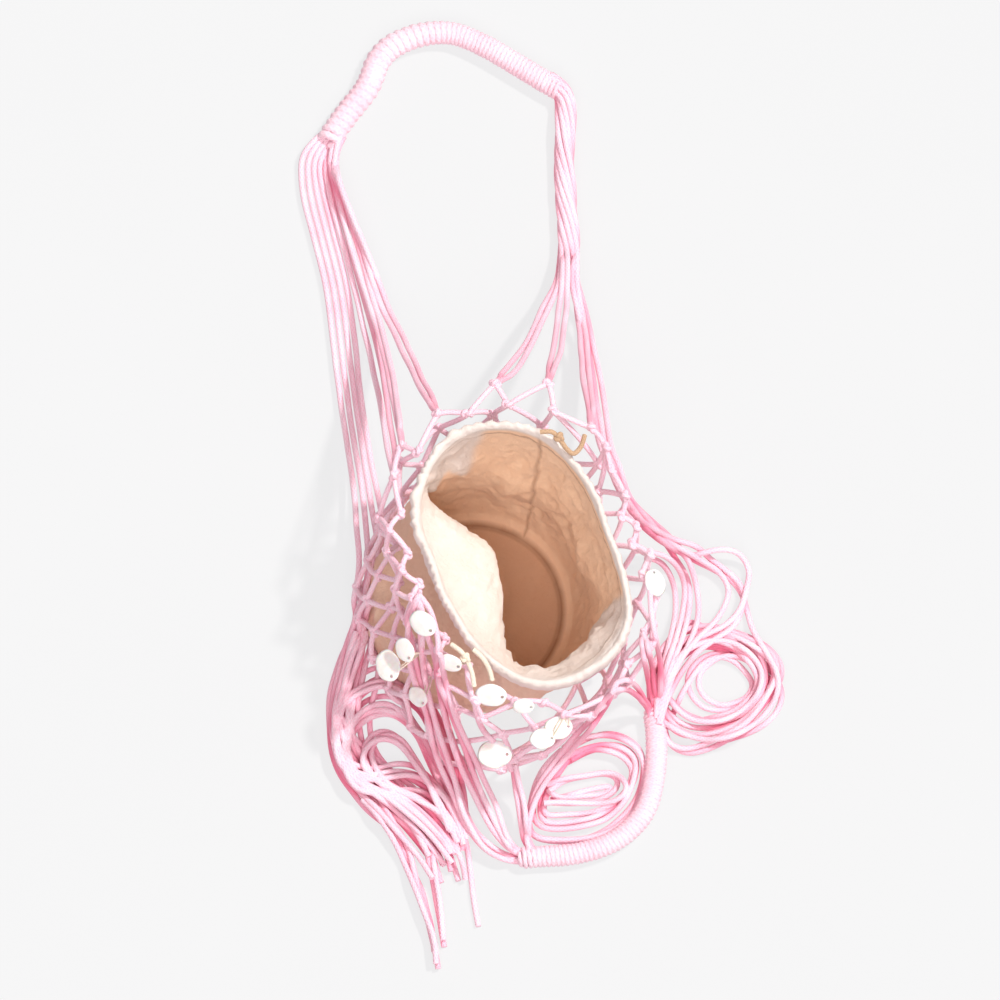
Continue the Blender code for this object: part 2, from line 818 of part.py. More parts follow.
def shell_disc(name, row):
    """A thin oval shell disc with a hole drilled near one end."""
    across, up, lean, towards, size = row
    length = SHELL_LENGTH * size
    bm = bmesh.new()
    loops = []
    for z in (-SHELL_THICKNESS / 2, SHELL_THICKNESS / 2):
        for radius, shift in ((1.0, 0.0), (SHELL_HOLE / length, 0.72)):
            ring = bmesh.ops.create_circle(bm, segments=SHELL_SIDES, radius=length / 2 * radius)
            widen = 1.0 if radius == 1.0 else 1.2
            for vert in ring["verts"]:
                vert.co = Vector((vert.co.x + shift * length / 2, vert.co.y * 0.82 * widen, z))
            edges = {edge for vert in ring["verts"] for edge in vert.link_edges}
            loops.append(list(edges))
    rim_low, hole_low, rim_high, hole_high = loops
    for first, second in (
        (rim_low, hole_low),
        (rim_high, hole_high),
        (rim_low, rim_high),
        (hole_low, hole_high),
    ):
        bmesh.ops.bridge_loops(bm, edges=first + second)
    bmesh.ops.recalc_face_normals(bm, faces=bm.faces)
    made = add_mesh(name, bm, SHELL)
    tilt = Vector((math.cos(math.radians(towards)), math.sin(math.radians(towards)), 0))
    normal = (Vector((0, 0, math.cos(math.radians(lean)))) + tilt * math.sin(math.radians(lean)))
    made.rotation_mode = "QUATERNION"
    made.rotation_quaternion = normal.to_track_quat("Z", "Y")
    made.location = seen(across, up, SHELL_DROP)
    return made


def settle(made):
    """Lets a piece down the line of sight until it nearly touches what carries it."""
    down = -Vector((0, -math.cos(LOOK_DOWN), math.sin(LOOK_DOWN)))
    for _ in range(60):
        points, faces = surface_of(made)
        low = min(point.z for point in points) - SEAM_GAP
        room = min(low, room_between(points, faces, LAID.values()) - SEAM_GAP)
        if room < 0:
            made.location -= down * SEAM_GAP / 2
        elif room < SEAM_GAP / 4:
            break
        else:
            made.location += down * room * 0.8
    return lay_down(made)


# The drawstring's free ends: each one's route, over the hem and the net
DRAWSTRING_ENDS = {
    "drawstring_front_end_1": (
        (-18, -27, 160), (-11, -32, 162), (-6, -38, 158), (-1, -50, 152), (1, -62, 146),
    ),
    "drawstring_front_end_2": (
        (0, -31, 164), (5, -35, 162), (10, -41, 158), (14, -49, 152), (16, -57, 148),
    ),
    "drawstring_back_end": (
        (56, 150, 202), (66, 150, 203), (73, 143, 200), (78, 136, 196), (84, 132, 192),
        (90, 138, 186), (93, 147, 180),
    ),
}
# Overhand knots on them: the end that each is tied in, and how far along it
DRAWSTRING_KNOTS = {
    "drawstring_front_knot": ("drawstring_front_end_1", 0.34),
    "drawstring_back_knot": ("drawstring_back_end", 0.22),
}


def drawstring_end(name, rows):
    """A free end of the drawstring, laid over the hem and the net, and the points that it follows."""
    points = laid_clear(smooth_route(route_of(rows), 2 * DRAWSTRING), (0.0,), DRAWSTRING / 2)

    def skin_of(points):
        trial = round_cord("trial", points, DRAWSTRING, CREAM_CORD)
        spots = surface_of(trial)[0]
        bpy.data.objects.remove(trial, do_unlink=True)
        return spots

    points = drawn_up(points, 0, "canvas_bag", skin_of)
    lay_down(round_cord(name, points, DRAWSTRING, CREAM_CORD))
    return points


def drawstring_knot(name, points, share):
    """An overhand knot on the drawstring, as a thick ring round the cord."""
    ring = []
    for i in range(KNOT_POINTS):
        turn = 2 * math.pi * i / KNOT_POINTS
        ring.append(Vector((math.cos(turn), math.sin(turn), 0)) * DRAWSTRING_KNOT_REACH)
    made = add_mesh(name, lock(ring, DRAWSTRING, closed=True), CREAM_CORD)
    k = round(share * (len(points) - 1))
    made.location = points[k]
    made.rotation_mode = "QUATERNION"
    made.rotation_quaternion = (points[k + 1] - points[k - 1]).to_track_quat("Z", "Y")
    return lay_down(made)


bag = lay_down(canvas_bag())
knotted_net, NET_EASE = drawn_in_net(bag)
lay_down(knotted_net)
lay_down(grip("back_grip", BACK_GRIP_ROUTE, BACK_GRIP_THICKNESS, BACK_GRIP_WRAP))
lay_down(grip("front_grip", FRONT_GRIP_ROUTE, FRONT_GRIP_THICKNESS, FRONT_GRIP_WRAP))
for name, rows in FRINGE.items():
    fringe(name, rows)
for name, row in BACK_CORDS.items():
    handle_cords(name, BACK_GRIP_ROUTE, *row)
for name, row in FRONT_CORDS.items():
    handle_cords(name, FRONT_GRIP_ROUTE, *row)
drawstring = {name: drawstring_end(name, rows) for name, rows in DRAWSTRING_ENDS.items()}
for name, (tied_in, share) in DRAWSTRING_KNOTS.items():
    drawstring_knot(name, drawstring[tied_in], share)
for number, row in enumerate(SHELLS, 1):
    settle(shell_disc(f"shell_disc_{number:02d}", row))
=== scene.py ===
"""The looks of the knotted net bucket bag: its canvas, net, grips, handle cords, fringe and shell
discs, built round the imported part. Metres, +Z up, in the part's own frame."""

import math
import random

import bmesh
import bpy
from mathutils import Matrix, Vector, noise
from mathutils.bvhtree import BVHTree


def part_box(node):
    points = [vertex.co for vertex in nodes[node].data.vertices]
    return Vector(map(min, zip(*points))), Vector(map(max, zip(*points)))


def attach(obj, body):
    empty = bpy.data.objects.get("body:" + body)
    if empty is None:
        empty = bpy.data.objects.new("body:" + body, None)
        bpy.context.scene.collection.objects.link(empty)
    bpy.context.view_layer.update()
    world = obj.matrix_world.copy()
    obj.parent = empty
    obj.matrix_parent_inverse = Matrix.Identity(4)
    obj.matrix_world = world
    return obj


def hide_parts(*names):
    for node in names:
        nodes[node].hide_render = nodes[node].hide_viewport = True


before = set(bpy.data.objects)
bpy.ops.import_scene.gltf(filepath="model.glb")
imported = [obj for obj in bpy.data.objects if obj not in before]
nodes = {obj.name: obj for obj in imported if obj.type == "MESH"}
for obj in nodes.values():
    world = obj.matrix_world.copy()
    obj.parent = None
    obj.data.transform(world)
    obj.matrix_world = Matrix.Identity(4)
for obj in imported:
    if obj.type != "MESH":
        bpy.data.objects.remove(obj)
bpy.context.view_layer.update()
random.seed(7)

# The picture: 1000 by 1000, looked at from LOOK_DOWN above the floor, with so many of its pixels
# to a metre, and the pixel where the middle of the bag's base lies
PICTURE = 1000
PIXELS_PER_METRE = 1200
BASE_PIXEL = (473, 612)
LOOK_DOWN = math.radians(75)

MM = 0.001
CORD = 0.0049
NET_CORD = 0.0046

# The bag's own sizes, as the part has them
CANVAS_WALL = 0.0022
BASE_RADIUS = 0.080
FOOT_ROUNDING = 0.006
MOUTH_RADIUS = 0.100
MOUTH_SHIFT_RIGHT = 0.043
MOUTH_HEIGHT = 0.165
MOUTH_TILT = 0.22
HEM_WIDTH = 0.0085
HEM_DROP = 0.010
HEM_RUCHE = 0.0012
HEM_RUCHES = 9
SEAM_GAP = 0.0004
BELLY = 0.010
NET_COLUMNS = 20
NET_ROWS = 8
NET_CLEARANCE = 0.0050
NET_EASE = 0.0020
NET_COLLAR = 0.024
NET_COLLAR_DROP = 0.010
NET_SLACK = 0.040
NET_FOOT_HEIGHT = 0.0071
NET_LEVELS = (0.97, 0.045)
BACK_GRIP_THICKNESS = 0.0215
BACK_WIND = 0.0062
BACK_WIND_TIGHTER = 0.0024
FRONT_GRIP_THICKNESS = 0.0185
FRONT_WIND = 0.0038
SHELL_LENGTH = 0.0240
SHELL_THICKNESS = 0.0016
DRAWSTRING = 0.0042

MOUTH = (
    # direction in degrees, reach as a share of MOUTH_RADIUS
    (0, 0.80), (30, 0.77), (60, 0.91), (90, 1.12), (120, 1.20), (150, 1.05),
    (180, 0.80), (210, 0.75), (240, 0.83), (270, 1.01), (300, 1.08), (330, 1.01),
)
WALL = (
    # level, lift, follow, push
    (0.00, 0.000, 0.00, 0.00), (0.05, 0.035, 0.00, 0.45), (0.15, 0.120, 0.06, 0.95),
    (0.28, 0.240, 0.18, 1.00), (0.40, 0.360, 0.32, 0.80), (0.52, 0.480, 0.46, 0.55),
    (0.64, 0.610, 0.61, 0.35), (0.76, 0.740, 0.76, 0.20), (0.88, 0.870, 0.89, 0.08),
    (1.00, 1.000, 1.00, 0.00),
)
FOLDS = (
    # direction, spread, level, band, move, towards
    (200, 84, 0.60, 0.32, 0.82, 42),
    (275, 40, 0.66, 0.26, 0.20, 80),
    (75, 34, 0.45, 0.22, 0.08, 255),
    (112, 22, 0.62, 0.20, 0.07, 285),
    (20, 30, 0.50, 0.25, 0.07, 190),
    (52, 16, 0.66, 0.22, 0.05, 230),
)
NET_STANDOFF = (
    # direction, collar, slack
    (0, 0.45, 0.00), (45, 0.15, 0.00), (90, 1.05, 0.00), (135, 0.50, 0.00),
    (180, 0.05, 0.00), (225, 0.25, 0.10), (270, 0.15, 1.00), (315, 0.35, 0.55),
)
# Sharp creases in the cloth: from a direction and level to another, width and depth in metres
CREASES = (
    # from direction, level, to direction, level, width, depth
    (72, 0.92, 84, 0.20, 0.0050, 0.0040),
    (60, 0.80, 78, 0.42, 0.0040, 0.0022),
    (96, 0.86, 84, 0.50, 0.0045, 0.0025),
    (118, 0.80, 100, 0.40, 0.0055, 0.0030),
    (132, 0.62, 108, 0.30, 0.0060, 0.0030),
    (50, 0.40, 20, 0.22, 0.0050, 0.0025),
    (30, 0.62, 12, 0.36, 0.0050, 0.0022),
    (142, 0.90, 122, 0.64, 0.0050, 0.0028),
    (340, 0.85, 326, 0.35, 0.0055, 0.0030),
    (318, 0.88, 330, 0.60, 0.0050, 0.0028),
    (205, 0.95, 216, 0.70, 0.0060, 0.0025),
    (250, 0.92, 262, 0.62, 0.0055, 0.0025),
    (284, 0.90, 276, 0.52, 0.0055, 0.0028),
)


def spot(u, v, height=None, thickness=CORD):
    """The place of something seen at a pixel, at a height in millimetres or lying on the floor."""
    rise = thickness / 2 if height is None else height * MM
    across = (u - BASE_PIXEL[0]) / PIXELS_PER_METRE
    up = (BASE_PIXEL[1] - v) / PIXELS_PER_METRE
    return Vector((across, (up - rise * math.cos(LOOK_DOWN)) / math.sin(LOOK_DOWN), rise))


def seen(across, up, height):
    """The place of a point seen across and up the view, at a height, all in millimetres."""
    back = (up - height * math.cos(LOOK_DOWN)) / math.sin(LOOK_DOWN)
    return Vector((across * MM, back * MM, height * MM))


def eased(a, b, c, d, t):
    """A smooth value between b and c, t of the way."""
    return b + 0.5 * t * (c - a + t * (2 * a - 5 * b + 4 * c - d + t * (3 * (b - c) + d - a)))


def ring_value(rows, degrees, column):
    """A smooth value round a ring of directions, from the rows of a table."""
    degrees %= 360
    count = len(rows)
    after = next((i for i, row in enumerate(rows) if row[0] > degrees), count)
    i0, i1, i2, i3 = ((after + k) % count for k in (-2, -1, 0, 1))
    start = rows[i1][0]
    t = ((degrees - start) % 360) / ((rows[i2][0] - start) % 360)
    return eased(*(rows[i][column] for i in (i0, i1, i2, i3)), t)


def level_value(rows, level, column):
    """A smooth value up the wall, from the rows of a table."""
    last = len(rows) - 1
    i = max(k for k in range(last) if rows[k][0] <= level or k == 0)
    t = (level - rows[i][0]) / (rows[i + 1][0] - rows[i][0])
    return eased(*(rows[min(max(k, 0), last)][column] for k in (i - 1, i, i + 1, i + 2)), t)


def smooth_step(t):
    t = min(max(t, 0.0), 1.0)
    return t * t * (3 - 2 * t)


def compass(degrees):
    return Vector((math.cos(math.radians(degrees)), math.sin(math.radians(degrees)), 0))


def mouth_point(degrees):
    """A point of the mouth's edge. The mouth leans: its back stands higher than its front."""
    reach = ring_value(MOUTH, degrees, 1) * MOUTH_RADIUS
    rise = reach * math.sin(math.radians(degrees))
    height = MOUTH_HEIGHT + MOUTH_TILT * rise
    lift_seen = MOUTH_HEIGHT * math.cos(LOOK_DOWN)
    back = (rise + lift_seen - height * math.cos(LOOK_DOWN)) / math.sin(LOOK_DOWN)
    across = MOUTH_SHIFT_RIGHT + reach * math.cos(math.radians(degrees))
    return Vector((across, back, height))


def wall_point(degrees, level, folded=True):
    """A point of the canvas wall's middle, at a direction and a level from foot to mouth."""
    out = compass(degrees)
    mouth = mouth_point(degrees)
    follow = level_value(WALL, level, 2)
    push = level_value(WALL, level, 3) * BELLY
    point = (out * BASE_RADIUS).lerp(Vector((mouth.x, mouth.y, 0)), follow) + out * push
    point.z = mouth.z * level_value(WALL, level, 1)
    if not folded:
        return point
    for direction, spread, at_level, band, move, towards in FOLDS:
        turn = abs((degrees - direction + 180) % 360 - 180) / spread
        rise = abs(level - at_level) / band
        if turn < 1 and rise < 1:
            share = smooth_step(1 - turn) * smooth_step(1 - rise)
            point += compass(towards) * (move * MOUTH_RADIUS * share)
    return point


def outward(degrees):
    """The direction straight out from the mouth's edge, level with the floor."""
    along = mouth_point(degrees + 4) - mouth_point(degrees - 4)
    return Vector((along.y, -along.x, 0)).normalized()


def smooth_route(route, spacing, count=None):
    """Points about spacing apart, or so many spans, along a smooth curve through a route's points."""
    points = [Vector(point) for point in route]
    dense = []
    last = len(points) - 1
    for i in range(last):
        around = [points[min(max(k, 0), last)] for k in (i - 1, i, i + 1, i + 2)]
        dense += [eased(*around, k / 24) for k in range(24)]
    dense.append(points[-1])
    lengths = [0.0]
    for before, after in zip(dense, dense[1:]):
        lengths.append(lengths[-1] + (after - before).length)
    count = count or max(2, round(lengths[-1] / spacing))
    found = []
    k = 0
    for i in range(count + 1):
        at = lengths[-1] * i / count
        while k < len(lengths) - 2 and lengths[k + 1] < at:
            k += 1
        span = max(lengths[k + 1] - lengths[k], 1e-9)
        found.append(dense[k].lerp(dense[k + 1], min(max((at - lengths[k]) / span, 0), 1)))
    return found


def route_length(points):
    return sum((b - a).length for a, b in zip(points, points[1:]))


# Where the canvas's weave, seams and casing line run on its cloth, in metres
WEAVE_PITCH = 0.0010
FOOT_SEAM = 0.075
FOOT_SEAM_WIDTH = 0.0090
SIDE_SEAM_START = 0.070
SIDE_SEAM_LEAN = 0.24
SIDE_SEAM_WIDTH = 0.0056
HEM_CASING = 0.240
CASING_WIDTH = 0.0034
# The brown of the dark seams, used too for the painted shade in the creases and under the hem
SEAM_AND_CREASE_SHADE_BROWN = (0.36, 0.17, 0.09)
# Painted shade on the bag's base inside
BASE_PAINTED_SHADE = (0.50, 0.24, 0.13)


def shader_material(name, roughness):
    made = bpy.data.materials.new(name)
    made.use_nodes = True
    shader = made.node_tree.nodes["Principled BSDF"]
    shader.inputs["Roughness"].default_value = roughness
    return made, made.node_tree, shader


def sum_of(tree, operation, *values):
    """A maths node on values, each a number or another node's output."""
    node = tree.nodes.new("ShaderNodeMath")
    node.operation = operation
    for socket, value in zip(node.inputs, values):
        if isinstance(value, (int, float)):
            socket.default_value = value
        else:
            tree.links.new(value, socket)
    return node.outputs[0]


def speckle(tree, scale, detail=4.0, roughness=0.6):
    """Noise in the object's own metres."""
    place = tree.nodes.new("ShaderNodeTexCoord")
    made = tree.nodes.new("ShaderNodeTexNoise")
    made.inputs["Scale"].default_value = scale
    made.inputs["Detail"].default_value = detail
    made.inputs["Roughness"].default_value = roughness
    tree.links.new(place.outputs["Object"], made.inputs["Vector"])
    return made.outputs["Fac"]


def ramp(tree, value, stops):
    """Colours along a value, from (place, colour) stops."""
    made = tree.nodes.new("ShaderNodeValToRGB")
    band = made.color_ramp
    while len(band.elements) < len(stops):
        band.elements.new(0.5)
    for element, (place, colour) in zip(band.elements, stops):
        element.position = place
        element.color = (*colour, 1)
    tree.links.new(value, made.inputs["Fac"])
    return made.outputs["Color"]


def bumped(tree, shader, height, distance, strength=1.0, under=None):
    """Gives the shader the relief of a height value, over the relief under it."""
    made = tree.nodes.new("ShaderNodeBump")
    made.inputs["Distance"].default_value = distance
    made.inputs["Strength"].default_value = strength
    tree.links.new(height, made.inputs["Height"])
    if under:
        tree.links.new(under, made.inputs["Normal"])
    tree.links.new(made.outputs["Normal"], shader.inputs["Normal"])
    return made.outputs["Normal"]


# How much deeper a cord is painted where others cover it, as painted shade, as a power of its deep colour
COVER_SHADE_POWER = 2.2


def cord_finish(name, light, deep, strands, lay, sheen):
    """Braided cotton cord: strands cross round it, and lay is how many turns a width of it holds.

    The cord's own map runs along it in cord widths and once round it. Its colour carries painted
    shade: deeper in the braid's grooves, and deeper still where other cords cover it."""
    made, tree, shader = shader_material(name, 0.85)
    place = tree.nodes.new("ShaderNodeUVMap")
    parts = tree.nodes.new("ShaderNodeSeparateXYZ")
    tree.links.new(place.outputs["UV"], parts.inputs["Vector"])
    along = sum_of(tree, "MULTIPLY", parts.outputs["X"], lay * 2 * math.pi)
    round_it = sum_of(tree, "MULTIPLY", parts.outputs["Y"], strands * 2 * math.pi)
    one_way = sum_of(tree, "SINE", sum_of(tree, "ADD", along, round_it))
    other_way = sum_of(tree, "SINE", sum_of(tree, "SUBTRACT", along, round_it))
    braid = sum_of(tree, "MAXIMUM", one_way, other_way)
    fuzz = speckle(tree, 1400)
    relief = sum_of(tree, "ADD", sum_of(tree, "MULTIPLY", braid, 0.35), fuzz)
    bumped(tree, shader, relief, 0.0006, 0.6)
    # The colour runs from deep to light by the braid's relief and a slow random tone: painted shade in the
    # braid's grooves
    wear = speckle(tree, 38, 3.0)
    shade = sum_of(tree, "ADD", sum_of(tree, "MULTIPLY", relief, 0.35), sum_of(tree, "MULTIPLY", wear, 0.7))
    # Painted shade, deeper still, where other cords cover this one
    cover_shade = tree.nodes.new("ShaderNodeAttribute")
    cover_shade.attribute_name = "cover_shade"
    pale = ramp(tree, shade, ((0.30, deep), (0.75, light)))
    colour = blended(tree, cover_shade.outputs["Fac"], pale, tuple(part**COVER_SHADE_POWER for part in deep))
    tree.links.new(colour, shader.inputs["Base Color"])
    shader.inputs["Sheen Weight"].default_value = sheen
    shader.inputs["Sheen Roughness"].default_value = 0.4
    return made


def clamped(tree, operation, *values):
    """A maths node's output, kept between 0 and 1."""
    made = sum_of(tree, operation, *values)
    made.node.use_clamp = True
    return made


def line_at(tree, value, middle, width):
    """1 along a line where the value is the middle, fading to 0 half a width away."""
    away = sum_of(tree, "ABSOLUTE", sum_of(tree, "SUBTRACT", value, middle))
    return clamped(tree, "SUBTRACT", 1.0, sum_of(tree, "DIVIDE", away, width / 2))


def blended(tree, share, first, second):
    """One colour going over into another by a share; each is a colour or another node's output."""
    made = tree.nodes.new("ShaderNodeMix")
    made.data_type = "RGBA"
    tree.links.new(share, made.inputs[0])
    for socket, colour in ((made.inputs[6], first), (made.inputs[7], second)):
        if isinstance(colour, tuple):
            socket.default_value = (*colour, 1)
        else:
            tree.links.new(colour, socket)
    return made.outputs[2]


def canvas_finish(name, light, deep, tan, brown):
    """Plain woven cotton canvas, its map in metres round and up the bag.

    Painted shade makes it tan in the bag's depths and outside towards its foot, browner on its base inside
    and darker in its small creases; it is darker along its two seams, and along the casing line, which is
    partly a painted shadow under the hem."""
    made, tree, shader = shader_material(name, 0.9)
    place = tree.nodes.new("ShaderNodeUVMap")
    parts = tree.nodes.new("ShaderNodeSeparateXYZ")
    tree.links.new(place.outputs["UV"], parts.inputs["Vector"])
    round_it, up_it = parts.outputs["X"], parts.outputs["Y"]
    warp = sum_of(tree, "SINE", sum_of(tree, "MULTIPLY", round_it, 2 * math.pi / WEAVE_PITCH))
    weft = sum_of(tree, "SINE", sum_of(tree, "MULTIPLY", up_it, 2 * math.pi / WEAVE_PITCH))
    weave = sum_of(tree, "MULTIPLY", warp, weft)
    slub = speckle(tree, 420, 5.0)
    relief = sum_of(tree, "ADD", sum_of(tree, "MULTIPLY", weave, 0.3), slub)
    crumple = speckle(tree, 46, 4.0)
    ridge = tree.nodes.new("ShaderNodeTexNoise")
    ridge.noise_type = "RIDGED_MULTIFRACTAL"
    ridge.inputs["Scale"].default_value = 21
    ridge.inputs["Detail"].default_value = 3.0
    ridge.inputs["Roughness"].default_value = 0.45
    spot_of = tree.nodes.new("ShaderNodeTexCoord")
    tree.links.new(spot_of.outputs["Object"], ridge.inputs["Vector"])
    vein = clamped(tree, "MULTIPLY", sum_of(tree, "SUBTRACT", ridge.outputs["Fac"], 0.62), 1.6)
    fold = sum_of(tree, "ADD", crumple, sum_of(tree, "MULTIPLY", vein, 0.5))
    first = bumped(tree, shader, fold, 0.0050, 0.9)
    second = bumped(tree, shader, relief, 0.0005, 0.5, under=first)
    foot_seam = line_at(tree, up_it, FOOT_SEAM, FOOT_SEAM_WIDTH)
    foot_seam = sum_of(tree, "MULTIPLY", foot_seam, clamped(tree, "MULTIPLY", speckle(tree, 26, 2.0), 2.3))
    # The casing line under the hem: its seam, darkened also as a painted shadow under the hem
    wavy = sum_of(tree, "ADD", up_it, sum_of(tree, "MULTIPLY", speckle(tree, 60, 3.0), 0.008))
    casing_seam_and_shadow = line_at(tree, wavy, HEM_CASING, CASING_WIDTH)
    leaning = sum_of(tree, "ADD", sum_of(tree, "MULTIPLY", up_it, SIDE_SEAM_LEAN), SIDE_SEAM_START)
    side_seam = line_at(tree, sum_of(tree, "SUBTRACT", round_it, leaning), 0.0, SIDE_SEAM_WIDTH)
    on_wall = sum_of(tree, "GREATER_THAN", up_it, FOOT_SEAM)
    side_seam = sum_of(tree, "MULTIPLY", side_seam, sum_of(tree, "MULTIPLY", on_wall, 0.6))
    seam = sum_of(tree, "MAXIMUM", foot_seam, side_seam)
    seam = sum_of(tree, "MAXIMUM", seam, sum_of(tree, "MULTIPLY", casing_seam_and_shadow, 0.7))
    bumped(tree, shader, seam, 0.0015, 0.7, under=second)
    slow = speckle(tree, 22, 3.0)
    shade = sum_of(tree, "ADD", sum_of(tree, "MULTIPLY", relief, 0.25), sum_of(tree, "MULTIPLY", slow, 0.8))
    pale = ramp(tree, shade, ((0.30, deep), (0.75, light)))
    # Painted shade from the depth attribute: the cloth goes tan, then brown, where it lies in shade inside
    # the bag and outside towards its foot
    depth = tree.nodes.new("ShaderNodeAttribute")
    depth.attribute_name = "depth"
    painted_shade_tint = blended(tree, shade, brown, tan)
    # Browner on the base inside: painted shade
    on_base = clamped(tree, "MULTIPLY", sum_of(tree, "SUBTRACT", FOOT_SEAM, up_it), 400)
    dusky = blended(tree, sum_of(tree, "MULTIPLY", on_base, 0.6), painted_shade_tint, BASE_PAINTED_SHADE)
    colour = blended(tree, depth.outputs["Fac"], pale, dusky)
    # The crease ridges are darkened as painted shade, the seams as dark joints; both show mostly where the
    # painted shade lies
    crease_shade, seams = sum_of(tree, "MULTIPLY", vein, 0.6), sum_of(tree, "MULTIPLY", seam, 0.85)
    marks = sum_of(tree, "MAXIMUM", crease_shade, seams)
    marked = sum_of(tree, "MULTIPLY", marks, sum_of(tree, "ADD", depth.outputs["Fac"], 0.06))
    tree.links.new(blended(tree, marked, colour, SEAM_AND_CREASE_SHADE_BROWN), shader.inputs["Base Color"])
    shader.inputs["Sheen Weight"].default_value = 0.15
    return made


SHELL_TINTS = ((0.30, (0.88, 0.84, 0.80)), (0.60, (0.94, 0.92, 0.89)), (0.85, (0.97, 0.95, 0.94)))


def shell_finish(name):
    """Pearly shell: thin growth bands, a soft gloss and a little light through it."""
    made, tree, shader = shader_material(name, 0.28)
    bands = tree.nodes.new("ShaderNodeTexWave")
    bands.wave_type = "RINGS"
    bands.inputs["Scale"].default_value = 90
    bands.inputs["Distortion"].default_value = 6
    place = tree.nodes.new("ShaderNodeTexCoord")
    tree.links.new(place.outputs["Object"], bands.inputs["Vector"])
    cloud = speckle(tree, 120, 3.0)
    shade = sum_of(tree, "ADD", sum_of(tree, "MULTIPLY", bands.outputs["Fac"], 0.12), cloud)
    tree.links.new(ramp(tree, shade, SHELL_TINTS), shader.inputs["Base Color"])
    bumped(tree, shader, bands.outputs["Fac"], 0.0001, 0.2)
    shader.inputs["Subsurface Weight"].default_value = 0.25
    shader.inputs["Subsurface Scale"].default_value = 0.004
    shader.inputs["Coat Weight"].default_value = 0.3
    return made


PINK = cord_finish("pink_cotton_cord", (0.97, 0.74, 0.83), (0.95, 0.52, 0.64), 5, 1.1, 0.2)
PINK_WRAP = cord_finish("pink_wound_cord", (0.96, 0.74, 0.82), (0.94, 0.56, 0.66), 4, 1.3, 0.2)
CREAM = cord_finish("cream_cotton_cord", (0.90, 0.83, 0.70), (0.82, 0.72, 0.56), 4, 1.2, 0.15)
# The cream cord in a deeper tone: painted shade for the drawstring's back end, which lies in shadow
CREAM_CORD_IN_SHADE = cord_finish("cream_cord_painted_shade", (0.62, 0.42, 0.26), (0.46, 0.29, 0.17), 4, 1.2, 0.15)
# The canvas: light and deep are its own tones, tan and brown its painted shade
CANVAS = canvas_finish(
    "cream_canvas", (0.83, 0.77, 0.72), (0.78, 0.70, 0.64), (0.95, 0.70, 0.49), (0.90, 0.57, 0.36)
)
SHELL = shell_finish("pearly_shell")


def new_piece(name, mesh, finish, replaced=()):
    """Puts a finished mesh in the scene as a piece that rides on the bag."""
    mesh.name = name
    mesh.materials.clear()
    mesh.materials.append(finish)
    for face in mesh.polygons:
        face.use_smooth = True
    made = bpy.data.objects.new(name, mesh)
    bpy.context.scene.collection.objects.link(made)
    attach(made, "root")
    if replaced:
        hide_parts(*replaced)
    return made


def cord_mesh(routes, diameter, radii=None, closed=False, resolution=3, cover_shade=None):
    """Cords along routes as one mesh, with a map that runs along each in cord widths."""
    curve = bpy.data.curves.new("cords", "CURVE")
    curve.dimensions = "3D"
    curve.bevel_depth = diameter / 2
    curve.bevel_resolution = resolution
    curve.use_fill_caps = not closed
    curve.twist_mode = "MINIMUM"
    for number, route in enumerate(routes):
        spline = curve.splines.new("POLY")
        spline.points.add(len(route) - 1)
        spline.use_cyclic_u = closed
        for k, (target, point) in enumerate(zip(spline.points, route)):
            target.co = (*point, 1)
            target.radius = radii[number][k] if radii else 1.0
    drawn = bpy.data.objects.new("cords", curve)
    bpy.context.scene.collection.objects.link(drawn)
    mesh = bpy.data.meshes.new_from_object(drawn)
    bpy.data.objects.remove(drawn, do_unlink=True)
    sides = 4 + 2 * resolution
    tube = [face for face in mesh.polygons if len(face.vertices) == 4]
    # Painted shade where other cords cover each cord, kept on its corners
    mesh.attributes.new("cover_shade", "FLOAT", "CORNER")
    uvs = mesh.uv_layers[0].data
    cover_shades = mesh.attributes["cover_shade"].data
    at = 0
    for number, route in enumerate(routes):
        spans = len(route) if closed else len(route) - 1
        scale = route_length(route) / diameter
        for face in tube[at : at + spans * sides]:
            for loop in face.loop_indices:
                if cover_shade:
                    cover_shades[loop].value = cover_shade[number][min(round(uvs[loop].uv.x * spans), len(route) - 1)]
                uvs[loop].uv.x *= scale
        at += spans * sides
    return mesh


CAD_TREES = {}


def cad_tree(name):
    """A CAD piece's surface, to lay other pieces on."""
    if name not in CAD_TREES:
        mesh = nodes[name].data
        points = [vert.co.copy() for vert in mesh.vertices]
        faces = [tuple(face.vertices) for face in mesh.polygons]
        CAD_TREES[name] = BVHTree.FromPolygons(points, faces)
    return CAD_TREES[name]


def knot_degrees(column, row):
    """The direction in which a knot of the net lies; every other row stands half a step on."""
    return 180 / NET_COLUMNS * (2 * column + 1 + row % 2)


def knot_place(column, row):
    """Where a knot of the net lies, row 0 at the top, as in the part."""
    degrees = knot_degrees(column, row)
    rows_down = NET_ROWS - 1
    high, low = NET_LEVELS
    level = 1.0 if row == 0 else high - (row - 1) * (high - low) / (rows_down - 1)
    point = wall_point(degrees, level, folded=False)
    out = outward(degrees).lerp(compass(degrees), 1 - level).normalized()
    clear = CANVAS_WALL / 2 + NET_CORD / 2
    if row == rows_down:
        off = clear + SEAM_GAP + NET_EASE
    elif row == 0:
        off = clear + HEM_WIDTH + NET_COLLAR * ring_value(NET_STANDOFF, degrees, 1)
    else:
        hem_room = (HEM_WIDTH + HEM_RUCHE) * smooth_step(5 * level - 3.3)
        off = clear + NET_CLEARANCE + NET_EASE + hem_room
    off += max(0.0, ring_value(NET_STANDOFF, degrees, 2)) * NET_SLACK * smooth_step(row / rows_down * 1.35)
    point += out * off
    if row == 0:
        point.z -= NET_COLLAR_DROP
    if row == rows_down:
        point.z = NET_FOOT_HEIGHT
    return point


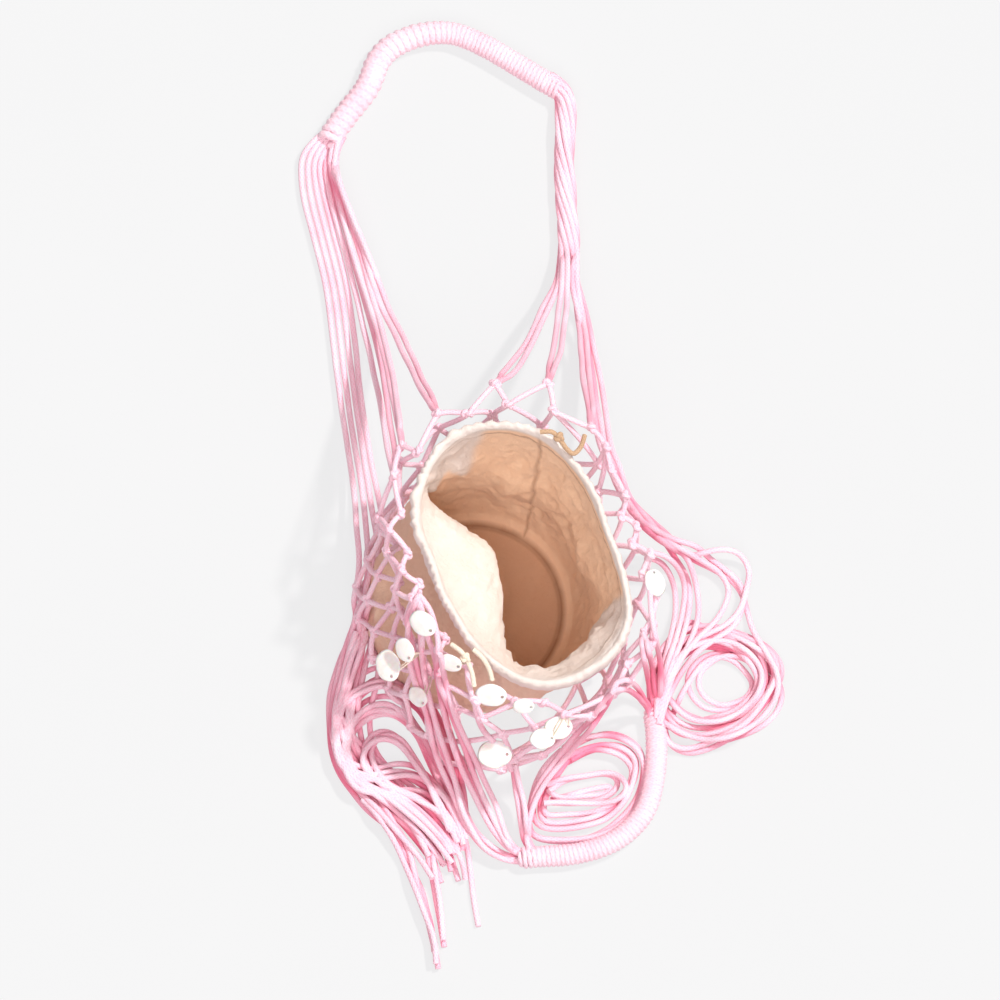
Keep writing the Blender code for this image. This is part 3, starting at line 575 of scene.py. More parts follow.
# Where knots of the net are seen in the picture, each taken by the nearest knot of the even net
SEEN_KNOTS = (
    (418, 452), (468, 414), (508, 405), (553, 411), (575, 429), (598, 464), (598, 492), (622, 513),
    (615, 526), (650, 555), (637, 603), (398, 546), (412, 549), (387, 552), (400, 580), (391, 608),
    (439, 650), (475, 700), (517, 701), (535, 727), (513, 759), (565, 755),
)
# The pixels of the knots at the mouth, by column and row
PLACED_KNOTS = {
    (2, 0): (611, 470), (3, 0): (591, 428), (4, 0): (548, 384), (5, 0): (495, 384), (6, 0): (438, 414),
    (7, 0): (402, 446), (8, 0): (402, 514), (11, 0): (419, 595), (16, 0): (612, 693), (18, 0): (643, 633),
    (2, 1): (606, 448), (3, 1): (568, 420), (4, 1): (514, 405), (5, 1): (468, 412), (6, 1): (420, 450),
}
# How near in pixels a knot must be to be moved to where one is seen, how far knots stray, and how
# far the net's upper rows stand further out, at the back and by their row, in metres
KNOT_REACH = 18
KNOT_STRAY = 0.0035
BACK_RISE = 0.003
SKIRT = {1: 0.002, 2: 0.004}


def pixel_of(point):
    """The picture's pixel where a point is seen."""
    up = point.y * math.sin(LOOK_DOWN) + point.z * math.cos(LOOK_DOWN)
    return Vector((BASE_PIXEL[0] + point.x * PIXELS_PER_METRE, BASE_PIXEL[1] - up * PIXELS_PER_METRE))


def net_knots():
    """Every knot of the net, loosely placed, those that are seen standing where they are seen."""
    knots = {}
    for column in range(NET_COLUMNS):
        for row in range(NET_ROWS):
            point = knot_place(column, row)
            degrees = knot_degrees(column, row)
            back = smooth_step(1.25 - abs((degrees - 95 + 180) % 360 - 180) / 60)
            if row == 0:
                point -= outward(degrees) * (NET_COLLAR * 0.8 * ring_value(NET_STANDOFF, degrees, 1))
            if row in (1, 2):
                point += outward(degrees) * (BACK_RISE * back + SKIRT[row] * (1 - back))
            if 0 < row < NET_ROWS - 1:
                along = Vector((-math.sin(math.radians(degrees)), math.cos(math.radians(degrees)), 0))
                point += along * random.uniform(-KNOT_STRAY, KNOT_STRAY)
                point.z += random.uniform(-KNOT_STRAY, KNOT_STRAY)
            if (column, row) in PLACED_KNOTS:
                point = spot(*PLACED_KNOTS[column, row], point.z / MM)
            knots[column, row] = point
    taken = set()
    for u, v in SEEN_KNOTS:
        free = [key for key in knots if key not in taken and key[1] in (1, 2, 3, 4) and knots[key].z > 0.03]
        best = min(free, key=lambda key: (pixel_of(knots[key]) - Vector((u, v))).length)
        if (pixel_of(knots[best]) - Vector((u, v))).length < KNOT_REACH:
            knots[best] = spot(u, v, knots[best].z / MM)
            taken.add(best)
    return knots


KNOTS = net_knots()


def set_camera():
    """Looks down on the bag as the picture does, with nothing nearer drawn larger."""
    look = Vector((0, math.cos(LOOK_DOWN), -math.sin(LOOK_DOWN)))
    turn = look.to_track_quat("-Z", "Y")
    right, up = turn @ Vector((1, 0, 0)), turn @ Vector((0, 1, 0))
    lens = bpy.data.cameras.new("camera")
    lens.type = "ORTHO"
    lens.ortho_scale = PICTURE / PIXELS_PER_METRE
    camera = bpy.data.objects.new("camera", lens)
    bpy.context.scene.collection.objects.link(camera)
    camera.rotation_mode = "QUATERNION"
    camera.rotation_quaternion = turn
    middle = PICTURE / 2
    across = (middle - BASE_PIXEL[0]) / PIXELS_PER_METRE
    above = (BASE_PIXEL[1] - middle) / PIXELS_PER_METRE
    camera.location = right * across + up * above - look * 2
    bpy.context.scene.camera = camera


def grid_skin(point_at, columns, rows, map_at, inner_shade_at=None, outer_shade_at=None):
    """A closed skin round point_at(across, up), both 0 to 1, with its map in metres from map_at.

    inner_shade_at and outer_shade_at give the painted shade on its inner and its outer side, 0 to 1."""
    form = bmesh.new()
    bmesh.ops.create_grid(form, x_segments=columns, y_segments=rows, size=1, calc_uvs=False)
    layer = form.loops.layers.uv.new("map")
    # The painted shade of the inner and the outer side, kept on the points
    depth = form.verts.layers.float.new("depth")
    outside = form.verts.layers.float.new("outside")
    shares = {vert: ((vert.co.x + 1) / 2, (vert.co.y + 1) / 2) for vert in form.verts}
    for face in form.faces:
        for loop in face.loops:
            loop[layer].uv = map_at(*shares[loop.vert])
    for vert, (across, up) in shares.items():
        vert.co = point_at(across % 1.0, up)
        if inner_shade_at:
            vert[depth] = inner_shade_at(across, up)
            vert[outside] = outer_shade_at(up)
    bmesh.ops.remove_doubles(form, verts=form.verts, dist=1e-6)
    bmesh.ops.recalc_face_normals(form, faces=form.faces)
    mesh = bpy.data.meshes.new("skin")
    form.to_mesh(mesh)
    form.free()
    return mesh


# The hem, from the mouth's edge over and down: how far out as a share of HEM_WIDTH, how far down
# as a share of HEM_DROP
HEM = ((0.35, -0.26), (0.8, -0.15), (1.0, 0.35), (0.85, 1.0))
HEM_START = 0.80
HEM_GATHERS = 70
BASE_END = 0.18
FOOT_END = 0.05
CANVAS_COLUMNS = 240
CANVAS_ROWS = 110


# A degree round the wall and the wall's whole height, in metres, where creases are measured
WALL_DEGREE = 0.0016
WALL_HEIGHT = 0.16


def crease_depth(degrees, level):
    """How far the sharp creases push the cloth in at a direction and level, in metres."""
    depth = 0.0
    for from_degrees, from_level, to_degrees, to_level, width, deep in CREASES:
        run = Vector(((to_degrees - from_degrees) * WALL_DEGREE, (to_level - from_level) * WALL_HEIGHT))
        turn = (degrees - from_degrees + 180) % 360 - 180
        here = Vector((turn * WALL_DEGREE, (level - from_level) * WALL_HEIGHT))
        t = min(max(here.dot(run) / run.length_squared, 0), 1)
        away = (here - run * t).length / width
        depth += deep * math.exp(-away * away) * (1 - (2 * t - 1) ** 4)
    return depth


WRINKLES = (
    # how fine, shifted by, how sharp, how high in metres
    (1.1, (0, 0, 0), 2.2, 0.0026),
    (2.6, (7, 3, 1), 2.2, 0.0018),
    (5.2, (2, 9, 4), 2.4, 0.0011),
)


def wrinkle(degrees, level):
    """Ridged wrinkles all over the cloth, in metres."""
    around = math.radians(degrees)
    place = Vector((math.cos(around) * 2.4, math.sin(around) * 2.4, level * 3.6))
    rise = 0.0
    for fine, shift, sharp, high in WRINKLES:
        rise += high * (1 - abs(noise.noise(place * fine + Vector(shift))) * sharp)
    return rise


def cloth_point(across, up):
    """A point of the canvas: its flat base, its wall, and the hem folded out over the edge."""
    degrees = across * 360
    half = CANVAS_WALL / 2
    if up < BASE_END:
        share = up / BASE_END
        point = compass(degrees) * (max(share, 0.02) * (BASE_RADIUS - FOOT_ROUNDING))
        point.z = half + 0.0006 * (1 - share) * noise.noise(point * 60)
        return point
    if up <= HEM_START:
        level = (up - BASE_END) / (HEM_START - BASE_END)
        soft = smooth_step(level * 5) * smooth_step((1 - level) * 7)
        point = wall_point(degrees, level) + fold_push(degrees, level)
        if level < FOOT_END:
            foot = wall_point(degrees, 0) * (1 - FOOT_ROUNDING / BASE_RADIUS)
            foot.z = half
            point = foot.lerp(wall_point(degrees, FOOT_END), level / FOOT_END)
        push = (wrinkle(degrees, level) - 0.002 + crease_depth(degrees, level)) * soft
        return point - outward(degrees) * (push + MOUTH_DRAW * smooth_step(level * 3.2 - 2.2))
    t = (up - HEM_START) / (1 - HEM_START) * len(HEM)
    k = min(int(t), len(HEM) - 1)
    rows = ((0.0, 0.0),) + HEM
    before, after = rows[max(k - 1, 0)], rows[min(k + 2, len(HEM))]
    out = eased(before[0], rows[k][0], rows[k + 1][0], after[0], t - k)
    drop = eased(before[1], rows[k][1], rows[k + 1][1], after[1], t - k)
    around = math.radians(degrees)
    gather = 0.5 + 0.5 * math.sin(around * HEM_GATHERS + 9 * noise.noise(compass(degrees) * 4))
    gather *= 0.7 + 0.5 * noise.noise(compass(degrees) * 11)
    roll = ring_value(HEM_ROLLS, degrees, 1)
    fluff = ring_value(HEM_ROLLS, degrees, 2) * gather
    ruche = HEM_RUCHE * 0.6 * math.cos(around * HEM_RUCHES) + fluff * smooth_step(out * 1.4)
    over = outward(degrees) * (HEM_WIDTH * roll * out + ruche - MOUTH_DRAW)
    rise = fluff * (1 - abs(out - 0.5))
    return mouth_point(degrees) + over + Vector((0, 0, rise - HEM_DROP * drop))


SOFT_FOLDS = (
    # direction, spread, level, band, move in metres, towards
    (232, 46, 0.62, 0.34, 0.016, 50),
    (316, 36, 0.74, 0.30, 0.017, 130),
    (290, 22, 0.80, 0.22, 0.008, 100),
)


def fold_push(degrees, level):
    """Leans the cloth in where it sags: the folded left wall towards the front, and the front right."""
    push = Vector()
    for direction, spread, at_level, band, move, towards in SOFT_FOLDS:
        turn = abs((degrees - direction + 180) % 360 - 180) / spread
        rise = abs(level - at_level) / band
        if turn < 1 and rise < 1:
            push += compass(towards) * (move * smooth_step(1 - turn) * smooth_step(1 - rise))
    return push


# How far up its cloth the canvas's wall and hem reach, and its mean radius, in metres
WALL_RISE = 0.170
HEM_RISE = 0.022
CLOTH_RADIUS = 0.09


def cloth_map(across, up):
    """The place of the canvas's point on its cloth, in metres round and up."""
    if up < BASE_END:
        rise = up / BASE_END * FOOT_SEAM
    elif up <= HEM_START:
        rise = FOOT_SEAM + (up - BASE_END) / (HEM_START - BASE_END) * WALL_RISE
    else:
        rise = FOOT_SEAM + WALL_RISE + (up - HEM_START) / (1 - HEM_START) * HEM_RISE
    return across * 2 * math.pi * CLOTH_RADIUS, rise


# The sides of the canvas inside left almost clear of the painted shade, as sunlit patches: direction,
# how far to each side of it, how soft the edge is, all in degrees; and the step of the zigzag along
# the painted shadow's edge
SUNLIT_FOLDED_SIDE = (215, 95, 40)
SUNLIT_FRONT = (308, 38, 6)
SUNLIT_BACK = (144, 40, 6)
SHADOW_EDGE_ZIGZAG_DEGREES = 13


def within_side(degrees, side):
    """1 for a direction on one of the canvas's sides, 0 off it, and between at its edges."""
    direction, reach, edge = side
    return smooth_step((reach - abs((degrees - direction + 180) % 360 - 180)) / edge)


def inner_painted_shade(across, up):
    """The painted shade inside the canvas: none at the hem, little on the folded left wall and the sunlit
    patches, full deep in the bag.
    """
    degrees = across * 360
    if up > HEM_START:
        return 0.0
    level = max(0.0, (up - BASE_END) / (HEM_START - BASE_END))
    around = math.radians(degrees)
    zigzag = abs((degrees / SHADOW_EDGE_ZIGZAG_DEGREES) % 2 - 1) - 0.5
    place = Vector((math.cos(around) * 3, math.sin(around) * 3, level * 3))
    wave = 0.10 * noise.noise(place) + 0.09 * zigzag
    deep = smooth_step((1.0 - level) * 30)
    folded = within_side(degrees, SUNLIT_FOLDED_SIDE) * smooth_step((level - 0.30) * 5)
    front = within_side(degrees, SUNLIT_FRONT) * smooth_step((level - 0.62 + wave) * 22)
    back = within_side(degrees, SUNLIT_BACK) * smooth_step((level - 0.50 + wave * 2) * 16)
    return deep * (1 - 0.92 * folded) * (1 - 0.86 * front) * (1 - 0.9 * back)


def outer_painted_shade(up):
    """The painted shade on the canvas outside: more towards the foot."""
    level = (up - BASE_END) / (HEM_START - BASE_END)
    return 0.8 * smooth_step((0.92 - level) * 1.8)


MOUTH_DRAW = 0.0040
HEM_ROLLS = (
    # direction, how far out the hem is rolled as a share of HEM_WIDTH, how fluffy it is in metres
    (5, 0.40, 0.0012),
    (60, 0.42, 0.0018),
    (105, 0.55, 0.0030),
    (160, 0.58, 0.0032),
    (205, 0.46, 0.0020),
    (260, 0.60, 0.0010),
    (310, 0.62, 0.0014),
    (340, 0.46, 0.0014),
)


def outer_side(skin):
    """The canvas as a tree whose faces all look away from the bag, the folded hem's as well."""
    rises = skin.uv_layers[0].data
    middle = Vector((0.02, 0.02, 0))
    on_wall = [rises[face.loop_start].uv.y < FOOT_SEAM + WALL_RISE for face in skin.polygons]
    looks_out = sum(
        (face.center - middle).xy.dot(face.normal.xy) for face, wall in zip(skin.polygons, on_wall) if wall
    )
    faces = []
    for face, wall in zip(skin.polygons, on_wall):
        corners = tuple(face.vertices)
        faces.append(corners if wall == (looks_out > 0) else corners[::-1])
    return BVHTree.FromPolygons([vert.co.copy() for vert in skin.vertices], faces)


def make_canvas():
    """The canvas: one skin given its thickness, its outer side given painted shade apart from its inner."""
    skin = grid_skin(cloth_point, CANVAS_COLUMNS, CANVAS_ROWS, cloth_map, inner_painted_shade, outer_painted_shade)
    CAD_TREES["cloth"] = outer_side(skin)
    drawn = bpy.data.objects.new("skin", skin)
    bpy.context.scene.collection.objects.link(drawn)
    thick = drawn.modifiers.new("thickness", "SOLIDIFY")
    thick.thickness = CANVAS_WALL
    thick.offset = 0
    cloth = bpy.data.meshes.new_from_object(drawn.evaluated_get(bpy.context.evaluated_depsgraph_get()))
    bpy.data.objects.remove(drawn, do_unlink=True)
    # The outer half of the solid takes the outer painted shade
    half = len(cloth.vertices) // 2
    depth, outside = cloth.attributes["depth"].data, cloth.attributes["outside"].data
    reach = [vert.co.xy.length for vert in cloth.vertices]
    outer = 0 if sum(reach[:half]) > sum(reach[half:]) else half
    for i in range(outer, outer + half):
        depth[i].value = outside[i].value
    for vert in cloth.vertices:
        vert.co.z = max(vert.co.z, 0.0)
    new_piece("canvas_bag_cloth", cloth, CANVAS, ("canvas_bag",))


KNOT_POINTS = 30
SPAN_POINTS = 10
KNOT_CORD = 0.0040
KNOT_SIZE = 0.00130
BIG_KNOT_SIZE = 0.0019
BIG_KNOTS = ((11, 0), (16, 0), (13, 0))


def trefoil(centre, turn, size):
    """The closed path of one small overhand knot."""
    path = []
    for k in range(KNOT_POINTS):
        t = 2 * math.pi * k / KNOT_POINTS
        across = math.sin(t) + 2 * math.sin(2 * t)
        along = math.cos(t) - 2 * math.cos(2 * t)
        path.append(centre + turn @ (Vector((across, along, -1.2 * math.sin(3 * t))) * size))
    return path


def make_net():
    """The net: single cords from knot to knot round the canvas, and the cord round its foot."""
    routes = []
    cloth = cad_tree("cloth")
    for row in range(NET_ROWS - 1):
        for column in range(NET_COLUMNS):
            sides = (column - 1, column) if row % 2 == 0 else (column, column + 1)
            for side in sides:
                start = KNOTS[column, row]
                end = KNOTS[side % NET_COLUMNS, row + 1]
                sway = outward(knot_degrees(column, row)) * random.uniform(-0.001, 0.003)
                points = []
                for k in range(SPAN_POINTS + 1):
                    t = k / SPAN_POINTS
                    across = 0.45 * t + 0.55 * smooth_step(t)
                    point = start.lerp(end, across)
                    point.z = start.z + (end.z - start.z) * t
                    point += sway * math.sin(math.pi * t)
                    near, normal, _, away = cloth.find_nearest(point)
                    room = (NET_CORD + CANVAS_WALL) / 2 + 0.0006
                    if (point - near).dot(normal) < room and away < 0.03 and 0 < k < SPAN_POINTS:
                        point = near + normal * room
                    point.z = max(point.z, NET_CORD / 2)
                    points.append(point)
                for _ in range(2):
                    points[1:-1] = [(a + b * 2 + c) / 4 for a, b, c in zip(points, points[1:], points[2:])]
                routes.append(points)
    cords = cord_mesh(routes, NET_CORD, resolution=2)
    new_piece("net_cords", cords, PINK, ("net",))
    foot = [KNOTS[c, NET_ROWS - 1] for c in range(NET_COLUMNS)]
    ring = smooth_route([foot[-1], *foot, foot[0], foot[1]], 0.006)
    start = min(range(len(ring)), key=lambda i: (ring[i] - foot[0]).length)
    new_piece("net_foot_cord", cord_mesh([ring[start:]], NET_CORD, resolution=2), PINK)
    knots = []
    for (column, row), place in KNOTS.items():
        if row == NET_ROWS - 1:
            continue
        out = outward(knot_degrees(column, row))
        turn = out.to_track_quat("Z", "Y").to_matrix() @ Matrix.Rotation(random.uniform(0, 2.1), 3, "Z")
        size = BIG_KNOT_SIZE if (column, row) in BIG_KNOTS else KNOT_SIZE
        knots.append(trefoil(place + out * 0.0005, turn, size * random.uniform(0.94, 1.06)))
    tied = cord_mesh(knots, KNOT_CORD, closed=True, resolution=2)
    new_piece("net_knots", tied, PINK)


def path_turns(points):
    """A turn for each point of a path, its Z along the path, twisting no more than it must."""
    turns = []
    ahead = (points[1] - points[0]).normalized()
    side = ahead.orthogonal().normalized()
    for i in range(len(points)):
        before, after = points[max(i - 1, 0)], points[min(i + 1, len(points) - 1)]
        fresh = (after - before).normalized()
        side = (side - fresh * side.dot(fresh)).normalized()
        turns.append(Matrix((side, fresh.cross(side), fresh)).transposed())
    return turns


# A grip's winding: the cord it is drawn with, its points to a turn, and how deep its grooves are as
# a share of the cord
WIND_CORD = 0.006
WIND_POINTS = 16
GROOVE = 0.15


def wound_grip(name, route, thickness_at, pitch_at):
    """A grip: a core of cords with one cord wound tightly round it from end to end.

    thickness_at and pitch_at give the grip's thickness and the winding's step, 0 to 1 along it."""
    spine = smooth_route(route, 0.0008)
    turns = path_turns(spine)
    length = route_length(spine)
    step = length / (len(spine) - 1)
    winding = []
    angle = 0.0
    place = 0.0
    while place < length:
        share = place / length
        pitch = pitch_at(share)
        k = min(int(place / step), len(spine) - 1)
        lump = 1 + 0.03 * noise.noise(Vector((place * 90, 0, 0)))
        tucked = min(1.0, 0.7 + 0.3 * min(place, length - place) / pitch)
        reach = (thickness_at(share) - pitch) / 2 * lump * tucked
        around = turns[k] @ Vector((math.cos(angle), math.sin(angle), 0))
        point = spine[k] + around * reach
        winding.append((point, pitch))
        angle += 2 * math.pi / WIND_POINTS
        place += pitch / WIND_POINTS
    radii = [[pitch * 1.04 / WIND_CORD for point, pitch in winding]]
    for i in range(3):
        radii[0][i] *= 0.9
    wrap = cord_mesh([[point for point, pitch in winding]], WIND_CORD, radii)
    new_piece(name + "_winding", wrap, PINK_WRAP, (name,))
    core_path = smooth_route(route, 0.004)[2:-2]
    shares = [i / (len(core_path) - 1) for i in range(len(core_path))]
    core = [[thickness_at(share) - 2 * GROOVE * pitch_at(share) for share in shares]]
    core[0][0] *= 0.5
    core[0][-1] *= 0.5
    new_piece(name + "_core", cord_mesh([core_path], 1.0, core, resolution=4), PINK_WRAP)


DISC_PROUD = 0.0014
DISC_WIDE = 0.82
DISC_HOLE_AT = 0.72
DISC_HOLE = 0.0013
DISC_DOME = 0.0010
THREAD = 0.0011


def make_discs():
    """The drilled shell discs, slightly domed ovals, each on a thread to the net."""
    for number, (across, up, lean, towards, size) in enumerate(SHELLS, 1):
        name = f"shell_disc_{number:02d}"
        low, high = (Vector(corner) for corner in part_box(name))
        middle = (low + high) / 2 + Vector((0, 0, DISC_PROUD))
        tilt = math.radians(lean)
        normal = Vector((0, 0, math.cos(tilt))) + compass(towards) * math.sin(tilt)
        turn = normal.to_track_quat("Z", "Y")
        long = SHELL_LENGTH * size / 2
        wide = long * DISC_WIDE
        hole_at = Vector((long * DISC_HOLE_AT, 0, 0))
        half = SHELL_THICKNESS / 2

        def disc_point(round_it, up_it):
            around = compass(round_it * 360)
            t = abs(2 * up_it - 1)
            side = 1 if up_it < 0.5 else -1
            hole = hole_at + around * DISC_HOLE
            wave = 1 + 0.02 * math.sin(round_it * 10 * math.pi + number)
            rim = Vector((around.x * long * wave, around.y * wide * wave, 0))
            point = rim.lerp(hole, t)
            edge = math.sqrt(max(0.0, 1 - (1 - t) ** 6))
            dome = DISC_DOME * (1 - (point.x / long) ** 2 - (point.y / wide) ** 2)
            point.z = side * half * edge + dome - 0.0004
            return middle + turn @ point

        skin = grid_skin(disc_point, 48, 24, lambda across, up: (across * long * 4, up * long * 2))
        form = bmesh.new()
        form.from_mesh(skin)
        bmesh.ops.remove_doubles(form, verts=form.verts, dist=2e-6)
        bmesh.ops.recalc_face_normals(form, faces=form.faces)
        form.to_mesh(skin)
        form.free()
        new_piece(name + "_shell", skin, SHELL, (name,))
        hole = middle + turn @ hole_at
        near = min(KNOTS.values(), key=lambda knot: (knot - hole).length)
        threads = []
        for side in (-1, 1):
            bow = Vector((0.0015 * side, 0.001, 0.002))
            shares = [k / 4 for k in range(5)]
            threads.append([hole.lerp(near, t) + bow * math.sin(math.pi * t) for t in shares])
        loops = [smooth_route(thread, 0.002) for thread in threads]
        new_piece(name + "_thread", cord_mesh(loops, THREAD, resolution=1), CREAM)


# The shell discs, as the part has them: seen across and up in millimetres, lean in degrees from
# lying flat, the direction they lean towards, and their size
SHELLS = (
    (-71, -45, 30, 200, 1.15), (-42, -10, 35, 230, 1.05), (-57, -32, 40, 210, 0.9),
    (-19, -43, 50, 250, 0.85), (-46, -71, 35, 220, 0.8), (15, -70, 45, 265, 1.1),
    (42, -79, 45, 270, 0.75), (71, -97, 25, 280, 1.0), (18, -119, 12, 270, 1.2),
    (152, 24, 30, 10, 1.0), (58, -106, 20, 275, 0.9),
)
# The grips' routes: seen across, up and how high, in millimetres
BACK_GRIP_ROUTE = (
    (-122, 391, 11), (-105, 415, 11), (-88, 437, 11), (-79, 459, 11), (-66, 472, 11), (-43, 481, 11),
    (-17, 482, 11), (9, 472, 11), (35, 457, 11), (60, 442, 11), (74, 434, 11),
)
FRONT_GRIP_ROUTE = (
    (39, -205, 10), (54, -204, 10), (88, -201, 10), (119, -190, 10), (142, -168, 10), (151, -138, 10),
    (153, -106, 10), (150, -81, 10),
)
DRAWSTRING_ENDS = {
    "drawstring_front_end_1": (
        (-18, -27, 160), (-11, -32, 162), (-6, -38, 158), (-1, -50, 152), (1, -62, 146),
    ),
    "drawstring_front_end_2": (
        (0, -31, 164), (5, -35, 162), (10, -41, 158), (14, -49, 152), (16, -57, 148),
    ),
    "drawstring_back_end": (
        (56, 150, 202), (66, 150, 203), (73, 143, 200), (78, 136, 196), (84, 132, 192), (90, 138, 186),
        (93, 147, 180),
    ),
}

# How high the cords lie as they come towards the bag: picture row, height in millimetres
LEFT_LOW_RISE = ((160, 6), (300, 12), (345, 34), (384, 62), (420, 90), (458, 118))
LEFT_MID_RISE = ((160, 8), (294, 24), (345, 56), (372, 80), (400, 112))
LEFT_HIGH_RISE = ((160, 8), (298, 22), (345, 62), (372, 98), (395, 138))
BACK_OUTER_RISE = (
    (124, 11), (150, 8), (172, 5), (396, 6), (468, 12), (521, 26), (566, 34), (602, 24), (623, 8),
    (640, 3),
)
RIGHT_HIGH_RISE = ((228, 8), (270, 20), (298, 38), (330, 74), (354, 112), (372, 146))
RIGHT_LOW_RISE = ((228, 8), (284, 14), (312, 22), (345, 54), (384, 104), (410, 148))
RIGHT_SIDE_RISE = ((536, 60), (552, 46), (566, 28), (580, 12), (592, 3))
BACK_FAR_RISE = (
    (284, 9), (300, 9), (366, 30), (414, 60), (458, 82), (494, 88), (521, 62), (541, 30), (556, 10),
    (575, 3),
)
FRONT_LEFT_RISE = ((653, 116), (706, 70), (758, 36), (804, 22), (840, 10), (860, 8))
FRONT_MIDDLE_RISE = ((722, 84), (754, 44), (794, 20), (835, 10), (860, 8))
FRONT_RIGHT_RISE = ((643, 100), (660, 60), (686, 24), (720, 9))

# The cords of each handle and fringe by picture pixel, with a height in millimetres where one is
# given; otherwise their height follows a profile, and those of the families lie on the floor
UPPER_A = (
    (334, 124), (324, 132), (312, 143), (303, 156), (301, 172), (304, 200), (313, 235), (326, 288),
    (334, 350), (343, 420), (352, 480), (359, 560), (354, 598),
)
UPPER_D = (
    (338, 130), (331, 140), (325, 151), (320, 162), (320, 174), (325, 200), (334, 235), (347, 288),
    (356, 350), (364, 420), (374, 480), (388, 560), (384, 598),
)
HANK_A = (
    (354, 622), (346, 644), (338, 666), (332, 692), (330, 722), (333, 752), (342, 774), (360, 794),
    (382, 816), (402, 838), (420, 860), (434, 884),
)
HANK_B = (
    (366, 622), (366, 645), (362, 668), (357, 695), (355, 722), (360, 746), (376, 764), (400, 782),
    (426, 802), (446, 826), (458, 852), (463, 880),
)
HANK_D = (
    (384, 620), (382, 648), (376, 680), (370, 712), (374, 742), (390, 762), (416, 784), (438, 804),
    (454, 830), (463, 856), (466, 882),
)
TAIL_A = (
    (350, 768), (364, 788), (380, 810), (393, 830), (405, 850), (413, 872), (421, 896), (429, 920),
    (436, 948), (440, 976),
)
TAIL_B = (
    (380, 764), (402, 784), (420, 806), (432, 832), (439, 862), (443, 892), (445, 914), (447, 938),
)
TAIL_C = (
    (366, 792), (384, 814), (398, 836), (409, 858), (418, 882), (426, 908), (434, 932), (437, 958),
)
TAIL_D = ((400, 776), (432, 798), (452, 822), (464, 846), (469, 874), (472, 902), (475, 929))
ARCH_OUT = (
    (446, 866), (422, 836), (392, 808), (360, 786), (340, 762), (334, 736), (338, 710), (352, 692),
    (376, 682), (400, 688), (422, 708), (440, 742), (454, 784), (469, 832),
)
ARCH_IN = (
    (452, 848), (428, 818), (402, 796), (374, 784), (355, 766), (352, 742), (364, 724), (384, 716),
    (402, 722), (418, 738), (432, 764), (446, 798), (460, 842),
)
SHADE_OUT = (
    (344, 730), (348, 698), (362, 676), (384, 668), (408, 680), (428, 700), (443, 728), (456, 762),
    (464, 800), (466, 838), (462, 862),
)
SHADE_IN = (
    (344, 744), (352, 716), (370, 698), (394, 696), (416, 710), (431, 732), (444, 760), (454, 794),
    (458, 834), (455, 858),
)
LOOP_OUT = (
    (456, 838), (434, 812), (408, 796), (382, 788), (366, 770), (360, 750), (370, 734), (386, 730),
    (402, 738), (416, 756), (430, 782), (446, 812), (460, 846),
)
LOOP_IN = (
    (450, 822), (430, 802), (408, 790), (388, 780), (374, 766), (372, 750), (382, 740), (398, 744),
    (412, 762), (428, 790), (446, 826),
)
CROSS_OUT = ((338, 716), (352, 742), (374, 764), (402, 790), (426, 814), (446, 842), (458, 868))
CROSS_IN = ((332, 744), (344, 768), (366, 792), (392, 812), (416, 834), (434, 858), (446, 886))
SWEEP_OUT = (
    (358, 628), (347, 660), (338, 694), (334, 728), (338, 760), (354, 786), (380, 790), (408, 786),
    (432, 792), (452, 812), (464, 838), (468, 862),
)
SWEEP_IN = (
    (366, 628), (356, 660), (347, 692), (340, 720), (340, 746), (350, 764), (370, 772), (396, 768),
    (422, 774), (444, 796), (460, 824), (468, 846),
)
FRONT_LOOP_OUT = (
    (562, 750), (544, 772), (532, 800), (530, 824), (540, 838), (576, 840), (608, 832), (630, 810),
    (641, 790), (644, 766), (636, 746), (614, 734), (588, 738), (566, 750),
)
FRONT_LOOP_IN = (
    (566, 756), (552, 776), (542, 796), (540, 812), (550, 818), (578, 816), (604, 808), (620, 794),
    (628, 780), (630, 766), (620, 756), (604, 752), (588, 754), (572, 762),
)
SMALL_LOOP_OUT = (
    (548, 786), (562, 776), (584, 772), (608, 770), (622, 778), (622, 790), (606, 800), (572, 804),
    (546, 806),
)
SMALL_LOOP_IN = (
    (549, 802), (568, 796), (590, 790), (610, 786), (602, 794), (578, 798), (556, 796), (546, 788),
)
COIL_OUT = (
    (656, 706), (652, 684), (658, 660), (674, 640), (698, 630), (724, 630), (750, 641), (772, 656),
    (780, 674), (770, 698), (744, 728), (714, 744), (688, 749), (668, 738), (660, 718),
)
COIL_IN = (
    (657, 706), (660, 688), (672, 668), (688, 652), (708, 643), (730, 646), (750, 656), (762, 674),
    (758, 696), (742, 712), (720, 720), (698, 718), (680, 710), (668, 698), (660, 686),
)
RING_OUT = (
    (656, 716), (662, 694), (672, 672), (686, 655), (706, 646), (732, 650), (752, 664), (761, 684),
    (750, 704), (726, 714), (702, 710), (690, 692), (690, 672), (702, 656), (722, 650), (742, 654),
    (758, 664), (768, 680), (768, 700),
)
RING_IN = (
    (660, 724), (668, 704), (678, 684), (692, 666), (708, 656), (728, 656), (746, 668), (754, 686),
    (744, 702), (722, 708), (704, 702), (695, 688), (698, 670), (712, 658), (730, 656), (748, 662),
    (760, 676), (764, 696),
)
RIGHT_COIL_OUT = (
    (660, 690), (662, 664), (674, 636), (690, 624), (706, 630), (724, 638), (748, 650), (768, 670),
    (776, 690), (768, 712), (746, 730), (716, 740),
)
RIGHT_COIL_IN = (
    (662, 700), (666, 674), (674, 650), (686, 636), (702, 636), (720, 642), (740, 650), (758, 666),
    (764, 684), (756, 702), (736, 718), (708, 726),
)
